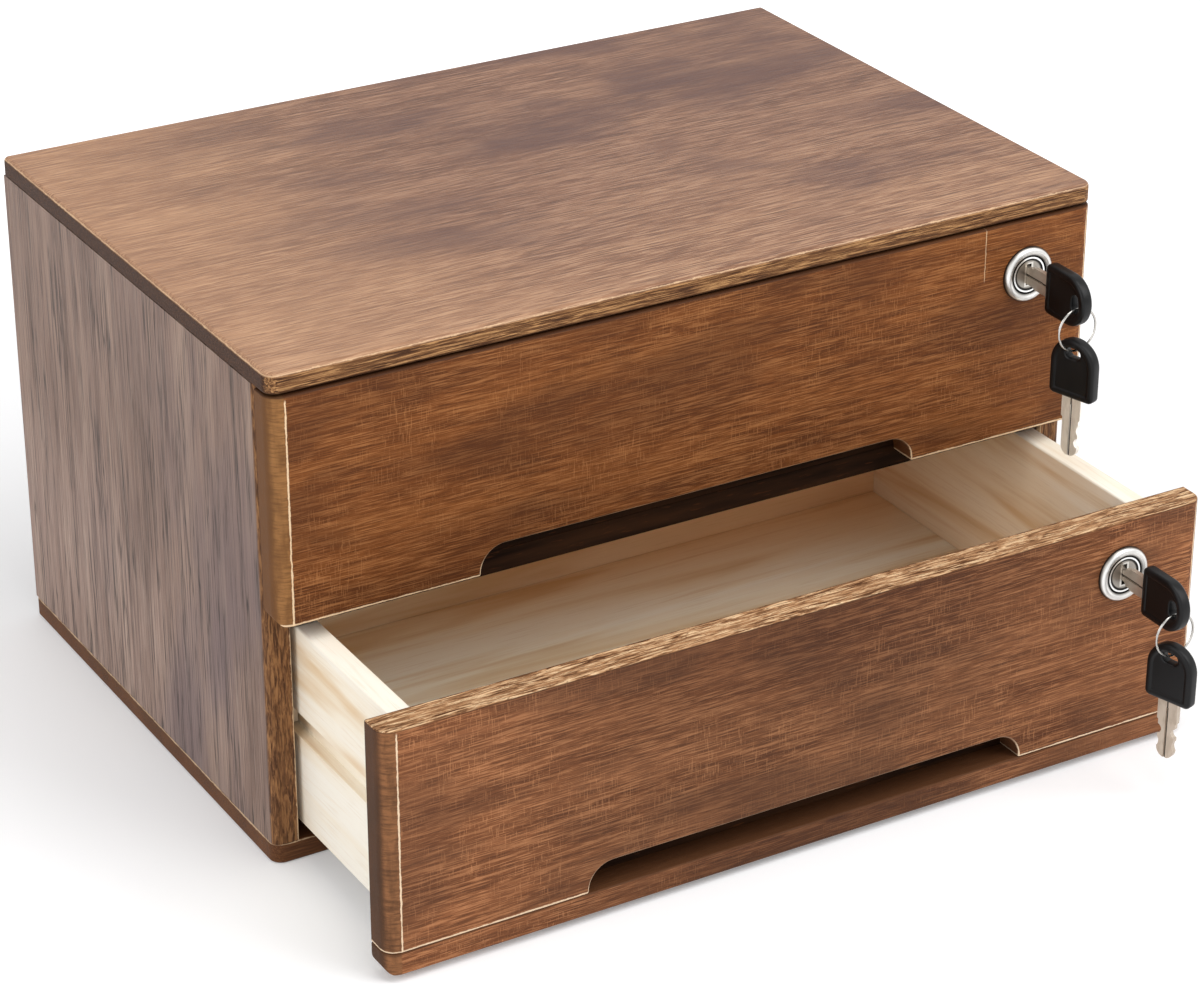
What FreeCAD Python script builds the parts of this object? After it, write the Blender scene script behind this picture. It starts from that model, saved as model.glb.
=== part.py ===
import FreeCAD, Part

import math
import os
import Sketcher

# A desktop cabinet of brushed dark wood with two drawers, one above the other.
# Each drawer has a cam lock at its right end, a key in the lock and a spare key on a wire ring.
# Millimetres. X runs to the right, Y to the back and Z up.
# The origin is the middle of the cabinet's underside, where it rests on the desk.
# The upper drawer is closed and the lower one is pulled out, as the cabinet is shown.

# Driving dimensions: name, millimetres (or degrees for a turn), and what it measures.
SIZES = [
    ("cabinet_width", 350, "cabinet, left to right"),
    ("cabinet_depth", 225, "cabinet, front plane to back plane"),
    ("side_thickness", 10, "side panel"),
    ("base_thickness", 8.5, "base board"),
    ("top_thickness", 8, "top board"),
    ("top_overhang", 11.5, "top board in front of the side panels"),
    ("back_thickness", 4, "back panel"),
    ("back_inset", 1, "back panel inside the back plane"),
    ("back_rebate", 5, "step in each side panel that holds the back panel"),
    ("corner_round", 5, "front corners of top and base, seen from above"),
    ("rear_corner_round", 2, "rear corners of top and base, seen from above"),
    ("top_edge_round", 2, "upper edges of the top board"),
    ("base_edge_round", 1, "edges of the base board, lower edges of the top board"),
    ("stile_round", 3, "front outer edge of a side panel"),
    ("rail_depth", 12, "rail between the drawers, front to back"),
    ("rail_clearance", 0.55, "air above and below the rail"),
    ("dowel_radius", 3, "dowel between side panel and top board"),
    ("dowel_in_side", 15, "dowel length in the side panel"),
    ("dowel_cover", 3, "wood left over a dowel in the top board"),
    ("fixing_spacing", 85, "dowels and base screws, one to the next"),
    ("rail_dowel_radius", 2.5, "dowel at each end of the rail"),
    ("rail_dowel_in_side", 6, "rail dowel length in the side panel"),
    ("rail_dowel_in_rail", 14, "rail dowel length in the rail"),
    ("hole_clearance", 0.05, "a hole's radius over its dowel, screw or nail"),
    ("screw_radius", 1.6, "wood screw shank"),
    ("screw_head_radius", 3.1, "wood screw countersunk head"),
    ("screw_recess", 0.3, "countersunk head below the surface"),
    ("base_screw_length", 30, "screw from the base into a side panel"),
    ("nail_radius", 0.7, "back panel nail"),
    ("nail_head_radius", 1.8, "back panel nail's head"),
    ("nail_head_height", 0.7, "back panel nail's head thickness"),
    ("nail_length", 14, "back panel nail under its head"),
    ("nail_end_gap", 20, "first and last nail from the panel's ends"),
    ("front_thickness", 12, "drawer front"),
    ("front_height", 89.4, "drawer front"),
    ("front_gap", 0.5, "closed drawer front to the cabinet's front plane"),
    ("top_gap", 0.8, "upper drawer front to the top board"),
    ("drawer_gap", 3, "upper drawer front to the lower one"),
    ("strip_height", 9, "strip under the lower drawer front"),
    ("strip_lift", 2.9, "strip above the desk"),
    ("front_end_round", 6, "vertical ends of fronts and strip, seen from above"),
    ("front_edge_round", 0.8, "upper and lower edges of fronts and strip"),
    ("front_corner_round", 4.5, "lowest corners of the fronts, seen from the front"),
    ("notch_width", 188, "finger cut-out at its mouth"),
    ("notch_height", 11.2, "finger cut-out"),
    ("notch_mouth_round", 1, "corner where the cut-out meets the lower edge"),
    ("drawer_side_gap", 2.6, "drawer box to side panel"),
    ("box_side_thickness", 9, "drawer box side"),
    ("box_lift", 2.2, "drawer box above the front's lower edge"),
    ("box_drop", 4.9, "drawer box below the front's upper edge"),
    ("rear_space", 42, "closed drawer box to the cabinet's back plane"),
    ("box_back_thickness", 9, "drawer box back wall"),
    ("inner_front_thickness", 9, "board behind the drawer front"),
    ("inner_front_drop", 3, "inner front below the box's top edge"),
    ("inner_front_foot", 1.5, "lower inner front below the drawer front"),
    ("box_edge_round", 0.8, "upper edges of the drawer box"),
    ("bottom_thickness", 4, "drawer bottom"),
    ("bottom_rise", 10.8, "underside of the drawer bottom above the box's lower edge"),
    ("bottom_groove", 4, "depth of the groove that holds the bottom"),
    ("bottom_play", 0.2, "air around the bottom in its groove"),
    ("runner_height", 9, "runner strip"),
    ("runner_thickness", 6.6, "runner strip"),
    ("runner_setback", 10.6, "runner behind the cabinet's front plane"),
    ("runner_end_gap", 6, "runner's rear end to the back panel"),
    ("runner_clearance", 0.25, "runner below the roof of its groove"),
    ("runner_side_clearance", 0.4, "runner to the bottom of its groove"),
    ("runner_play", 1, "groove higher than the runner"),
    ("groove_rise", 46.7, "roof of the runner groove above the box's lower edge"),
    ("runner_screw_radius", 1.5, "runner screw shank"),
    ("runner_screw_head_radius", 3, "runner screw head"),
    ("runner_screw_bite", 6, "runner screw in the side panel"),
    ("runner_screw_inset", 22, "first and last screw from the runner's ends"),
    ("front_screw_step", 42, "half the distance between screws through the inner front"),
    ("front_screw_rise", 38, "these screws above the front's lower edge"),
    ("front_screw_bite", 8, "these screws in the front"),
    ("strip_screw_near", 115, "nearer strip screws from the middle"),
    ("strip_screw_step", 35, "strip screw to the next one"),
    ("strip_screw_bite", 13, "strip screws in the front"),
    ("lower_drawer_open", 77.5, "how far the lower drawer is pulled out"),
    ("lock_drop", 22, "lock axis below the front's upper edge"),
    ("upper_lock_space", 0.9, "upper lock barrel to the drawer's right side"),
    ("lower_lock_space", 7.4, "lower lock barrel to the drawer's right side"),
    ("barrel_radius", 8, "lock barrel"),
    ("barrel_clearance", 0.1, "hole in the wood around the barrel"),
    ("bezel_radius", 11.15, "lock's rim on the front"),
    ("bezel_height", 2.2, "crest of the rim above the front"),
    ("bezel_rim", 0.5, "straight edge of the rim"),
    ("bezel_crest_radius", 9.2, "radius of the rim's crest"),
    ("bezel_mouth_height", 1.5, "height of the rim's inner edge"),
    ("gap_ring_radius", 7.75, "mouth of the rim"),
    ("gap_ring_depth", 0.8, "floor of the mouth below the front"),
    ("plug_radius", 6, "turning plug in the barrel"),
    ("plug_clearance", 0.05, "plug to barrel"),
    ("plug_head_radius", 7.25, "plug's head"),
    ("plug_head_ring", 0.75, "raised ring on the plug's head"),
    ("plug_groove_width", 0.4, "groove inside the raised ring"),
    ("plug_groove_depth", 0.5, "groove inside the raised ring"),
    ("plug_face_height", 1.2, "plug's face above the front"),
    ("plug_ring_height", 0.3, "raised ring above the plug's face"),
    ("keyway_height", 8.5, "key slot, long way"),
    ("keyway_width", 2.1, "key slot, short way"),
    ("keyway_depth", 17, "key slot, into the plug"),
    ("cam_gap", 0.6, "cam behind the rail"),
    ("cam_width", 12, "cam"),
    ("cam_thickness", 2, "cam"),
    ("cam_bite", 3.3, "how far the turned cam reaches into the top board"),
    ("mortise_clearance", 0.6, "slot in the top board around the cam"),
    ("cam_square", 6.4, "square end of the plug in the cam"),
    ("cam_fit", 0.05, "square hole around the square end"),
    ("cam_screw_radius", 2, "screw that holds the cam"),
    ("cam_screw_length", 8, "this screw under its head"),
    ("cam_screw_head_radius", 4.2, "head of the cam screw"),
    ("cam_screw_head_height", 2, "head of the cam screw"),
    ("clip_thickness", 1.2, "spring clip behind the inner front"),
    ("clip_slot", 1, "depth of the clip's slots in the barrel"),
    ("clip_stand", 0.7, "clip outside the barrel"),
    ("clip_bridge", 2.5, "bridge of the clip above the barrel"),
    ("key_head_length", 24, "key head"),
    ("key_head_width", 20.4, "key head"),
    ("key_head_thickness", 5, "key head"),
    ("key_head_corner", 2.2, "corner of the head beside the blade"),
    ("key_head_edge_round", 1.1, "edges of the head"),
    ("key_hole_width", 7, "long hole in the head, across the head"),
    ("key_hole_height", 4.2, "long hole in the head, along the key"),
    ("key_hole_inset", 5.6, "hole's centre from the head's round end"),
    ("key_blade_length", 24.5, "blade below the head"),
    ("key_blade_play", 0.5, "blade's edge to the end of the key slot"),
    ("key_blade_slack", 0.1, "blade's flat to the wall of the key slot"),
    ("key_tang", 10, "blade inside the head"),
    ("key_shown", 13.3, "blade in sight between plug and head"),
    ("key_neck", 8.5, "plain neck of the blade below the head"),
    ("key_neck_width", 8.8, "neck of the blade"),
    ("first_bite", 11, "first bite below the head"),
    ("second_bite", 16.4, "second bite below the head"),
    ("bite_width", 4, "bite, along the blade"),
    ("shallow_bite", 0.7, "shallow bite"),
    ("deep_bite", 1.6, "deep bite"),
    ("blade_groove_width", 1, "groove along the blade"),
    ("blade_groove_depth", 0.45, "groove along the blade"),
    ("blade_groove_gap", 3, "groove's upper end below the head"),
    ("ring_radius", 8.5, "key ring, to the middle of its wire"),
    ("wire_radius", 0.5, "key ring's wire"),
    ("ring_clearance", 0.25, "wire to the rim of a key's hole"),
    ("spare_key_turn", 16, "spare key turned about the vertical, in degrees"),
]

# Places that follow from the driving dimensions, each with its formula.
PLACES = [
    ("front_plane", "-Sizes.cabinet_depth / 2"),
    ("half_width", "Sizes.cabinet_width / 2"),
    ("lower_front_z", "Sizes.strip_lift + Sizes.strip_height"),
    ("upper_front_z", "Places.lower_front_z + Sizes.front_height + Sizes.drawer_gap"),
    ("top_z", "Places.upper_front_z + Sizes.front_height + Sizes.top_gap"),
    ("side_height", "Places.top_z - Sizes.base_thickness"),
    ("side_middle", "Places.half_width - Sizes.side_thickness / 2"),
    ("side_inner", "Places.half_width - Sizes.side_thickness"),
    ("upper_drawer_y", "Places.front_plane"),
    ("lower_drawer_y", "Places.front_plane - Sizes.lower_drawer_open"),
    ("back_front_y", "Sizes.cabinet_depth / 2 - Sizes.back_inset - Sizes.back_thickness"),
    ("rail_top_z", "Places.upper_front_z + Sizes.box_lift - Sizes.rail_clearance"),
    ("box_height", "Sizes.front_height - Sizes.box_lift - Sizes.box_drop"),
    ("rail_height", "Sizes.front_height + Sizes.drawer_gap - Places.box_height"
                    " - 2 * Sizes.rail_clearance"),
    ("box_outer", "Places.side_inner - Sizes.drawer_side_gap"),
    ("box_inner", "Places.box_outer - Sizes.box_side_thickness"),
    ("box_end", "Sizes.cabinet_depth - Sizes.rear_space"),
    ("inner_front_back", "Sizes.inner_front_thickness - Sizes.front_gap"),
    ("groove_height", "Sizes.runner_height + Sizes.runner_play"),
    ("groove_depth", "Sizes.runner_thickness - Sizes.drawer_side_gap"
                     " + Sizes.runner_side_clearance"),
    ("groove_z", "Sizes.box_lift + Sizes.groove_rise - Places.groove_height"),
    ("runner_z", "Sizes.box_lift + Sizes.groove_rise - Sizes.runner_clearance"
                 " - Sizes.runner_height"),
    ("runner_y", "Places.front_plane + Sizes.runner_setback"),
    ("runner_length", "Places.back_front_y - Sizes.runner_end_gap - Places.runner_y"),
    ("bottom_z", "Sizes.box_lift + Sizes.bottom_rise"),
    ("bottom_reach", "Sizes.bottom_groove - Sizes.bottom_play"),
    ("front_face", "-Sizes.front_gap - Sizes.front_thickness"),
    ("upper_lock_x", "Places.box_inner - Sizes.barrel_radius - Sizes.upper_lock_space"),
    ("lower_lock_x", "Places.box_inner - Sizes.barrel_radius - Sizes.lower_lock_space"),
    ("lock_z", "Sizes.front_height - Sizes.lock_drop"),
    ("cam_y", "Sizes.rail_depth + Sizes.cam_gap - Places.front_face"),
    ("barrel_end", "Places.cam_y - 2 * Sizes.plug_clearance"),
    ("clip_y", "Sizes.front_thickness + Sizes.inner_front_thickness"),
    ("cam_reach", "Sizes.lock_drop + Sizes.top_gap + Sizes.cam_bite"),
    ("blade_width", "Sizes.keyway_height - 2 * Sizes.key_blade_play"),
    ("blade_thickness", "Sizes.keyway_width - 2 * Sizes.key_blade_slack"),
    ("head_bottom", "Sizes.key_hole_inset - Sizes.key_head_length"),
    ("blade_tip", "Places.head_bottom - Sizes.key_blade_length"),
    ("key_hole_y", "-Sizes.plug_face_height - Sizes.key_shown + Places.head_bottom"),
    ("ring_sag", "Sizes.ring_radius - sqrt(Sizes.ring_radius ^ 2"
                 " - (Sizes.key_head_thickness / 2) ^ 2)"),
    ("ring_room", "Sizes.wire_radius + Places.ring_sag + Sizes.ring_clearance"),
    ("ring_seat", "Sizes.key_hole_width / 2 - Places.ring_room"),
    ("spare_seat", "Sizes.key_hole_height / 2 - Places.ring_room"),
    ("ring_z", "-Places.ring_seat - Sizes.ring_radius"),
    ("spare_hole_z", "Places.ring_z - Sizes.ring_radius - Places.spare_seat"),
]

LEVELS = ("upper", "lower")
HANDS = {"left": -1, "right": 1}
PLANE_SIGN = {"XY_Plane": 1, "XZ_Plane": -1, "YZ_Plane": 1}

# How close two numbers are that mean the same place, and the least a cut takes away.
SAME_PLACE = 0.01
SMALLEST_CUT = 0.001
# A front's short edges, beside its notch and corners, stay sharp.
SHORTEST_LONG_EDGE = 5

doc = FreeCAD.newDocument("drawer_cabinet")
nodes = []


def value(formula):
    """The number that a formula gives now."""
    return float(places.evalExpression(formula))


def put_sizes():
    """The sheet of driving dimensions."""
    sheet = doc.addObject("Spreadsheet::Sheet", "Sizes")
    for row, (alias, number, meaning) in enumerate(SIZES, start=1):
        sheet.set(f"A{row}", meaning)
        sheet.set(f"B{row}", str(number))
        sheet.setAlias(f"B{row}", alias)
    doc.recompute()


def put_places():
    """The places worked out from the sheet."""
    holder = doc.addObject("App::VarSet", "Places")
    for name, formula in PLACES:
        holder.addProperty("App::PropertyFloat", name)
        holder.setExpression(name, formula)
        doc.recompute()
    return holder


def place(thing, x="0", y="0", z="0", turn=None):
    """Bind where a thing stands. turn is an axis and an angle in degrees."""
    if turn:
        thing.Placement.Rotation = FreeCAD.Rotation(FreeCAD.Vector(*turn[0]), turn[1])
    for axis, formula in zip("xyz", (x, y, z)):
        thing.setExpression("Placement.Base." + axis, formula)


def keep(thing):
    """Count a thing as one of the object's pieces."""
    nodes.append(thing)
    return thing


def new_body(name):
    """An empty body for one piece."""
    body = doc.addObject("PartDesign::Body", name)
    body.Label = name
    return body


def sketch_on(body, plane, at="0"):
    """An empty sketch on one of the body's planes, moved along the plane's axis."""
    sketch = body.newObject("Sketcher::SketchObject", body.Name + "_sketch")
    origin_plane = next(f for f in body.Origin.OriginFeatures if f.Role == plane)
    sketch.AttachmentSupport = [(origin_plane, "")]
    sketch.MapMode = "FlatFace"
    sketch.setExpression("AttachmentOffset.Base.z", f"{PLANE_SIGN[plane]} * ({at})")
    return sketch


def bind_size(sketch, formula, *constraint):
    """A dimension of a sketch that follows a formula."""
    index = sketch.addConstraint(Sketcher.Constraint(*constraint, value(formula)))
    sketch.setExpression(f"Constraints[{index}]", formula)


def arc_between(first, last, radius, to_left):
    """A short arc, and which of its ends comes first."""
    chord = last - first
    rise = math.sqrt(max(radius ** 2 - chord.Length ** 2 / 4, 0))
    side = FreeCAD.Vector(-chord.y, chord.x, 0).normalize()
    centre = (first + last) * 0.5 + side * (rise if to_left else -rise)
    circle = Part.Circle(centre, FreeCAD.Vector(0, 0, 1), radius)
    ends = (first, last) if to_left else (last, first)
    angles = [math.atan2(end.y - centre.y, end.x - centre.x) for end in ends]
    return Part.ArcOfCircle(circle, *angles), (1, 2) if to_left else (2, 1)


def outline(sketch, corners):
    """A closed outline. Each corner is x, y and, where an arc leads on, its radius and side."""
    spots = [FreeCAD.Vector(value(corner[0]), value(corner[1]), 0) for corner in corners]
    ends = []
    for index, corner in enumerate(corners):
        first = spots[index]
        last = spots[(index + 1) % len(corners)]
        if len(corner) == 2:
            edge, order = Part.LineSegment(first, last), (1, 2)
        else:
            edge, order = arc_between(first, last, value(corner[2]), corner[3] == "left")
        ends.append((sketch.addGeometry(edge, False), order))
    for index, (edge, order) in enumerate(ends):
        following, following_order = ends[(index + 1) % len(ends)]
        sketch.addConstraint(Sketcher.Constraint(
            "Coincident", edge, order[1], following, following_order[0]))
        bind_size(sketch, corners[index][0], "DistanceX", -1, 1, edge, order[0])
        bind_size(sketch, corners[index][1], "DistanceY", -1, 1, edge, order[0])
        if len(corners[index]) > 2:
            bind_size(sketch, corners[index][2], "Radius", edge)


def rectangle(sketch, left, low, wide, high):
    """A rectangle from its lower left corner."""
    right = f"{left} + {wide}"
    top = f"{low} + {high}"
    outline(sketch, [(left, low), (right, low), (right, top), (left, top)])


def circles(sketch, spots, radius):
    """Equal circles about the given centres."""
    for x, y in spots:
        middle = FreeCAD.Vector(value(x), value(y), 0)
        circle = Part.Circle(middle, FreeCAD.Vector(0, 0, 1), value(radius))
        index = sketch.addGeometry(circle, False)
        bind_size(sketch, x, "DistanceX", -1, 1, index, 3)
        bind_size(sketch, y, "DistanceY", -1, 1, index, 3)
        bind_size(sketch, radius, "Radius", index)


def pad(body, sketch, length, symmetric=False):
    """Material raised from a sketch along its plane's axis, or to both sides."""
    feature = body.newObject("PartDesign::Pad", body.Name + "_pad")
    feature.Profile = sketch
    feature.Midplane = symmetric
    feature.Reversed = sketch.AttachmentSupport[0][0].Role == "XZ_Plane"
    feature.setExpression("Length", length)
    return feature


def pocket(body, sketch, depth):
    """A cut from a sketch that lies on the surface. It reaches as far to both sides."""
    doc.recompute()
    before = body.Shape.Volume
    feature = body.newObject("PartDesign::Pocket", body.Name + "_pocket")
    feature.Profile = sketch
    feature.Midplane = True
    feature.setExpression("Length", f"2 * ({depth})")
    doc.recompute()
    if body.Shape.Volume > before - SMALLEST_CUT:
        raise ValueError(f"{feature.Name} cuts nothing")
    return feature


def cut_box(body, plane, at, left, low, wide, high, depth):
    """A rectangular recess in the surface at the given place."""
    sketch = sketch_on(body, plane, at)
    rectangle(sketch, left, low, wide, high)
    return pocket(body, sketch, depth)


def drill(body, plane, at, spots, radius, depth):
    """Round holes from the surface at the given place."""
    sketch = sketch_on(body, plane, at)
    circles(sketch, spots, radius)
    return pocket(body, sketch, depth)


def block(name, x, y, z, wide, deep, high):
    """A plain board."""
    body = new_body(name)
    sketch = sketch_on(body, "XY_Plane", z)
    rectangle(sketch, x, y, wide, deep)
    pad(body, sketch, high)
    return body


def dress(body, kind, sizing, formula, wanted):
    """A fillet or chamfer on the edges that pass the test."""
    doc.recompute()
    base = body.Tip
    names = [f"Edge{index}" for index, edge in enumerate(base.Shape.Edges, start=1) if wanted(edge)]
    if not names:
        raise ValueError(f"{body.Name} has no such edge")
    feature = body.newObject("PartDesign::" + kind, body.Name + "_" + kind.lower())
    feature.Base = (base, names)
    feature.setExpression(sizing, formula)
    body.Tip = feature
    return feature


def round_edges(body, radius, wanted):
    """Rounded edges."""
    return dress(body, "Fillet", "Radius", radius, wanted)


def near(first, second):
    """Two numbers that mean the same place."""
    return abs(first - second) < SAME_PLACE


def middle_of(edge):
    """The point halfway along an edge."""
    return edge.valueAt((edge.FirstParameter + edge.LastParameter) / 2)


def is_upright(edge):
    """A straight vertical edge."""
    box = edge.BoundBox
    return near(box.XLength, 0) and near(box.YLength, 0)


def is_level(edge, z):
    """An edge that lies at one height."""
    box = edge.BoundBox
    return near(box.ZMin, z) and near(box.ZMax, z)


def is_mouth(edge, radius, axis, at):
    """A round hole's rim on the surface at the given place."""
    curve = edge.Curve
    return isinstance(curve, Part.Circle) and near(curve.Radius, radius) \
        and near(getattr(curve.Center, axis), at)


def sink(body, hole_radius, head_radius, axis, at):
    """Widen the rims of screw holes for countersunk heads."""
    return dress(body, "Chamfer", "Size", f"{head_radius} - {hole_radius} + Sizes.screw_recess",
                 lambda edge: is_mouth(edge, value(hole_radius), axis, value(at)))


def pin(name, x, y, z, turn, radius, length):
    """A round pin from its first end."""
    cylinder = doc.addObject("Part::Cylinder", name)
    cylinder.setExpression("Radius", radius)
    cylinder.setExpression("Height", length)
    place(cylinder, x, y, z, turn)
    return cylinder


def screw(name, x, y, z, turn, head_radius, radius, length):
    """A countersunk screw. Its head's flat is at the given spot and its point lies ahead."""
    head = doc.addObject("Part::Cone", name + "_head")
    head.setExpression("Radius1", head_radius)
    head.setExpression("Radius2", radius)
    head.setExpression("Height", f"{head_radius} - {radius}")
    point = doc.addObject("Part::Cone", name + "_point")
    point.setExpression("Radius1", radius)
    point.Radius2 = 0
    point.setExpression("Height", f"2 * {radius}")
    place(point, z=f"{length} - 2 * {radius}")
    shank = pin(name + "_shank", "0", "0", f"{head_radius} - {radius}", None, radius,
                f"{length} - {head_radius} - {radius}")
    whole = doc.addObject("Part::MultiFuse", name)
    whole.Shapes = [head, shank, point]
    place(whole, x, y, z, turn)
    return whole


def group(name, members):
    """Equal fasteners, joined as one piece of the list."""
    whole = doc.addObject("Part::Compound", name)
    whole.Label = name
    whole.Links = members
    return whole


QUARTER_TURN = 90
UP = None
TO_RIGHT = ((0, 1, 0), QUARTER_TURN)
TO_LEFT = ((0, 1, 0), -QUARTER_TURN)
TO_FRONT = ((1, 0, 0), QUARTER_TURN)


def flat_board(name, y, z, deep, high, edge_round):
    """The top or base board: round corners seen from above, and eased edges."""
    body = block(name, "-Places.half_width", y, z, "Sizes.cabinet_width", deep, high)
    front = value(y)
    round_edges(body, "Sizes.corner_round",
                lambda edge: is_upright(edge) and near(edge.BoundBox.YMin, front))
    round_edges(body, "Sizes.rear_corner_round",
                lambda edge: is_upright(edge) and near(edge.BoundBox.YMin, front + value(deep)))
    low = value(z)
    tall = low + value(high)
    round_edges(body, edge_round, lambda edge: is_level(edge, tall))
    round_edges(body, "Sizes.base_edge_round", lambda edge: is_level(edge, low))
    return body


def fixing_spots():
    """Where dowels and screws go along both side panels, seen from above."""
    return [(f"{hand} * Places.side_middle", f"{step} * Sizes.fixing_spacing")
            for hand in HANDS.values() for step in (-1, 0, 1)]


def make_top_board():
    """The top board, with dowel holes and the slot that the upper lock's cam turns up into."""
    body = flat_board("top_board", "Places.front_plane - Sizes.top_overhang", "Places.top_z",
                      "Sizes.cabinet_depth + Sizes.top_overhang", "Sizes.top_thickness",
                      "Sizes.top_edge_round")
    drill(body, "XY_Plane", "Places.top_z", fixing_spots(),
          "Sizes.dowel_radius + Sizes.hole_clearance",
          "Sizes.top_thickness - Sizes.dowel_cover + Sizes.hole_clearance")
    half = "(sqrt(Places.cam_reach ^ 2 - (Sizes.lock_drop + Sizes.top_gap) ^ 2)" \
           " + Sizes.mortise_clearance)"
    cut_box(body, "XY_Plane", "Places.top_z", f"Places.upper_lock_x - {half}",
            "Places.front_plane + Places.front_face + Places.cam_y - Sizes.mortise_clearance",
            f"2 * {half}", "Sizes.cam_thickness + 2 * Sizes.mortise_clearance",
            "Sizes.cam_bite + Sizes.mortise_clearance")
    keep(body)


def make_base_board():
    """The base board, with countersunk holes from below."""
    body = flat_board("base_board", "Places.front_plane", "0", "Sizes.cabinet_depth",
                      "Sizes.base_thickness", "Sizes.base_edge_round")
    radius = "(Sizes.screw_radius + Sizes.hole_clearance)"
    drill(body, "XY_Plane", "0", fixing_spots(), radius, "Sizes.base_thickness")
    sink(body, radius, "Sizes.screw_head_radius", "z", "0")
    keep(body)


def make_side_panel(hand):
    """A side panel: eased front edge, step for the back panel, holes for all that it holds."""
    sign = HANDS[hand]
    left = "-Places.half_width" if sign < 0 else "Places.side_inner"
    body = block(hand + "_side_panel", left, "Places.front_plane", "Sizes.base_thickness",
                 "Sizes.side_thickness", "Sizes.cabinet_depth", "Places.side_height")
    outer = sign * value("Places.half_width")
    front = value("Places.front_plane")
    round_edges(body, "Sizes.stile_round", lambda edge: is_upright(edge)
                and near(edge.BoundBox.XMin, outer) and near(edge.BoundBox.YMin, front))
    inner = f"{sign} * Places.side_inner"
    cut_box(body, "YZ_Plane", inner, "Places.back_front_y", "Sizes.base_thickness",
            "Sizes.back_thickness + Sizes.back_inset", "Places.side_height", "Sizes.back_rebate")
    spots = [(x, y) for x, y in fixing_spots() if x.startswith(f"{sign} ")]
    drill(body, "XY_Plane", "Places.top_z", spots, "Sizes.dowel_radius + Sizes.hole_clearance",
          "Sizes.dowel_in_side + Sizes.hole_clearance")
    drill(body, "XY_Plane", "Sizes.base_thickness", spots,
          "Sizes.screw_radius + Sizes.hole_clearance",
          "Sizes.base_screw_length - Sizes.base_thickness + 1")
    drill(body, "YZ_Plane", inner, [("Places.front_plane + Sizes.rail_depth / 2",
                                     "Places.rail_top_z - Places.rail_height / 2")],
          "Sizes.rail_dowel_radius + Sizes.hole_clearance",
          "Sizes.rail_dowel_in_side + Sizes.hole_clearance")
    drill(body, "YZ_Plane", inner, runner_screw_spots(),
          "Sizes.runner_screw_radius + Sizes.hole_clearance",
          "Sizes.runner_screw_bite + Sizes.screw_recess + Sizes.hole_clearance")
    drill(body, "XZ_Plane", "Places.back_front_y", nail_spots(sign),
          "Sizes.nail_radius + Sizes.hole_clearance", "Sizes.nail_length")
    keep(body)


def nail_spots(sign):
    """Where one side panel takes the back panel's nails, seen from behind."""
    x = f"{sign} * (Places.side_inner + Sizes.back_rebate / 2)"
    span = "(Places.side_height - 2 * Sizes.nail_end_gap)"
    return [(x, f"Sizes.base_thickness + Sizes.nail_end_gap + {step} / 3 * {span}")
            for step in range(4)]


def make_back_panel():
    """The back panel in the steps of the side panels, with its nails."""
    half = "(Places.side_inner + Sizes.back_rebate)"
    body = block("back_panel", f"-{half}", "Places.back_front_y", "Sizes.base_thickness",
                 f"2 * {half}", "Sizes.back_thickness", "Places.side_height")
    spots = nail_spots(-1) + nail_spots(1)
    drill(body, "XZ_Plane", "Places.back_front_y", spots,
          "Sizes.nail_radius + Sizes.hole_clearance", "Sizes.back_thickness")
    keep(body)
    rear = "Places.back_front_y + Sizes.back_thickness"
    nails = []
    for index, (x, z) in enumerate(spots, start=1):
        head = pin(f"nail_head_{index}", x, f"{rear} + Sizes.nail_head_height", z, TO_FRONT,
                   "Sizes.nail_head_radius", "Sizes.nail_head_height")
        shank = pin(f"nail_shank_{index}", x, rear, z, TO_FRONT, "Sizes.nail_radius",
                    "Sizes.nail_length")
        nail = doc.addObject("Part::MultiFuse", f"nail_{index}")
        nail.Shapes = [head, shank]
        nails.append(nail)
    keep(group("back_panel_nails", nails))


def make_front_rail():
    """The rail between the drawers, which the lower lock's cam hooks behind."""
    body = block("front_rail", "-Places.side_inner", "Places.front_plane",
                 "Places.rail_top_z - Places.rail_height", "2 * Places.side_inner",
                 "Sizes.rail_depth", "Places.rail_height")
    y = "Places.front_plane + Sizes.rail_depth / 2"
    z = "Places.rail_top_z - Places.rail_height / 2"
    dowels = []
    for hand, sign in HANDS.items():
        drill(body, "YZ_Plane", f"{sign} * Places.side_inner", [(y, z)],
              "Sizes.rail_dowel_radius + Sizes.hole_clearance",
              "Sizes.rail_dowel_in_rail + Sizes.hole_clearance")
        outer = f"{sign} * (Places.side_inner + Sizes.rail_dowel_in_side)"
        dowels.append(pin(hand + "_rail_dowel", outer, y, z, TO_RIGHT if sign < 0 else TO_LEFT,
                          "Sizes.rail_dowel_radius",
                          "Sizes.rail_dowel_in_side + Sizes.rail_dowel_in_rail"))
    keep(body)
    keep(group("rail_dowels", dowels))


def make_fixings():
    """The dowels under the top board and the screws through the base board."""
    length = "Sizes.dowel_in_side + Sizes.top_thickness - Sizes.dowel_cover"
    dowels = [pin(f"top_dowel_{index}", x, y, "Places.top_z - Sizes.dowel_in_side", UP,
                  "Sizes.dowel_radius", length)
              for index, (x, y) in enumerate(fixing_spots(), start=1)]
    keep(group("top_dowels", dowels))
    screws = [screw(f"base_screw_{index}", x, y, "Sizes.screw_recess", UP,
                    "Sizes.screw_head_radius", "Sizes.screw_radius", "Sizes.base_screw_length")
              for index, (x, y) in enumerate(fixing_spots(), start=1)]
    keep(group("base_screws", screws))


def runner_heights():
    """The lower edge of the runners at each level."""
    return {level: f"Places.{level}_front_z + Places.runner_z" for level in LEVELS}


def runner_screw_places():
    """Where the screws sit along a runner."""
    span = "(Places.runner_length - 2 * Sizes.runner_screw_inset)"
    return [f"Places.runner_y + Sizes.runner_screw_inset + {step} / 2 * {span}"
            for step in range(3)]


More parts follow.
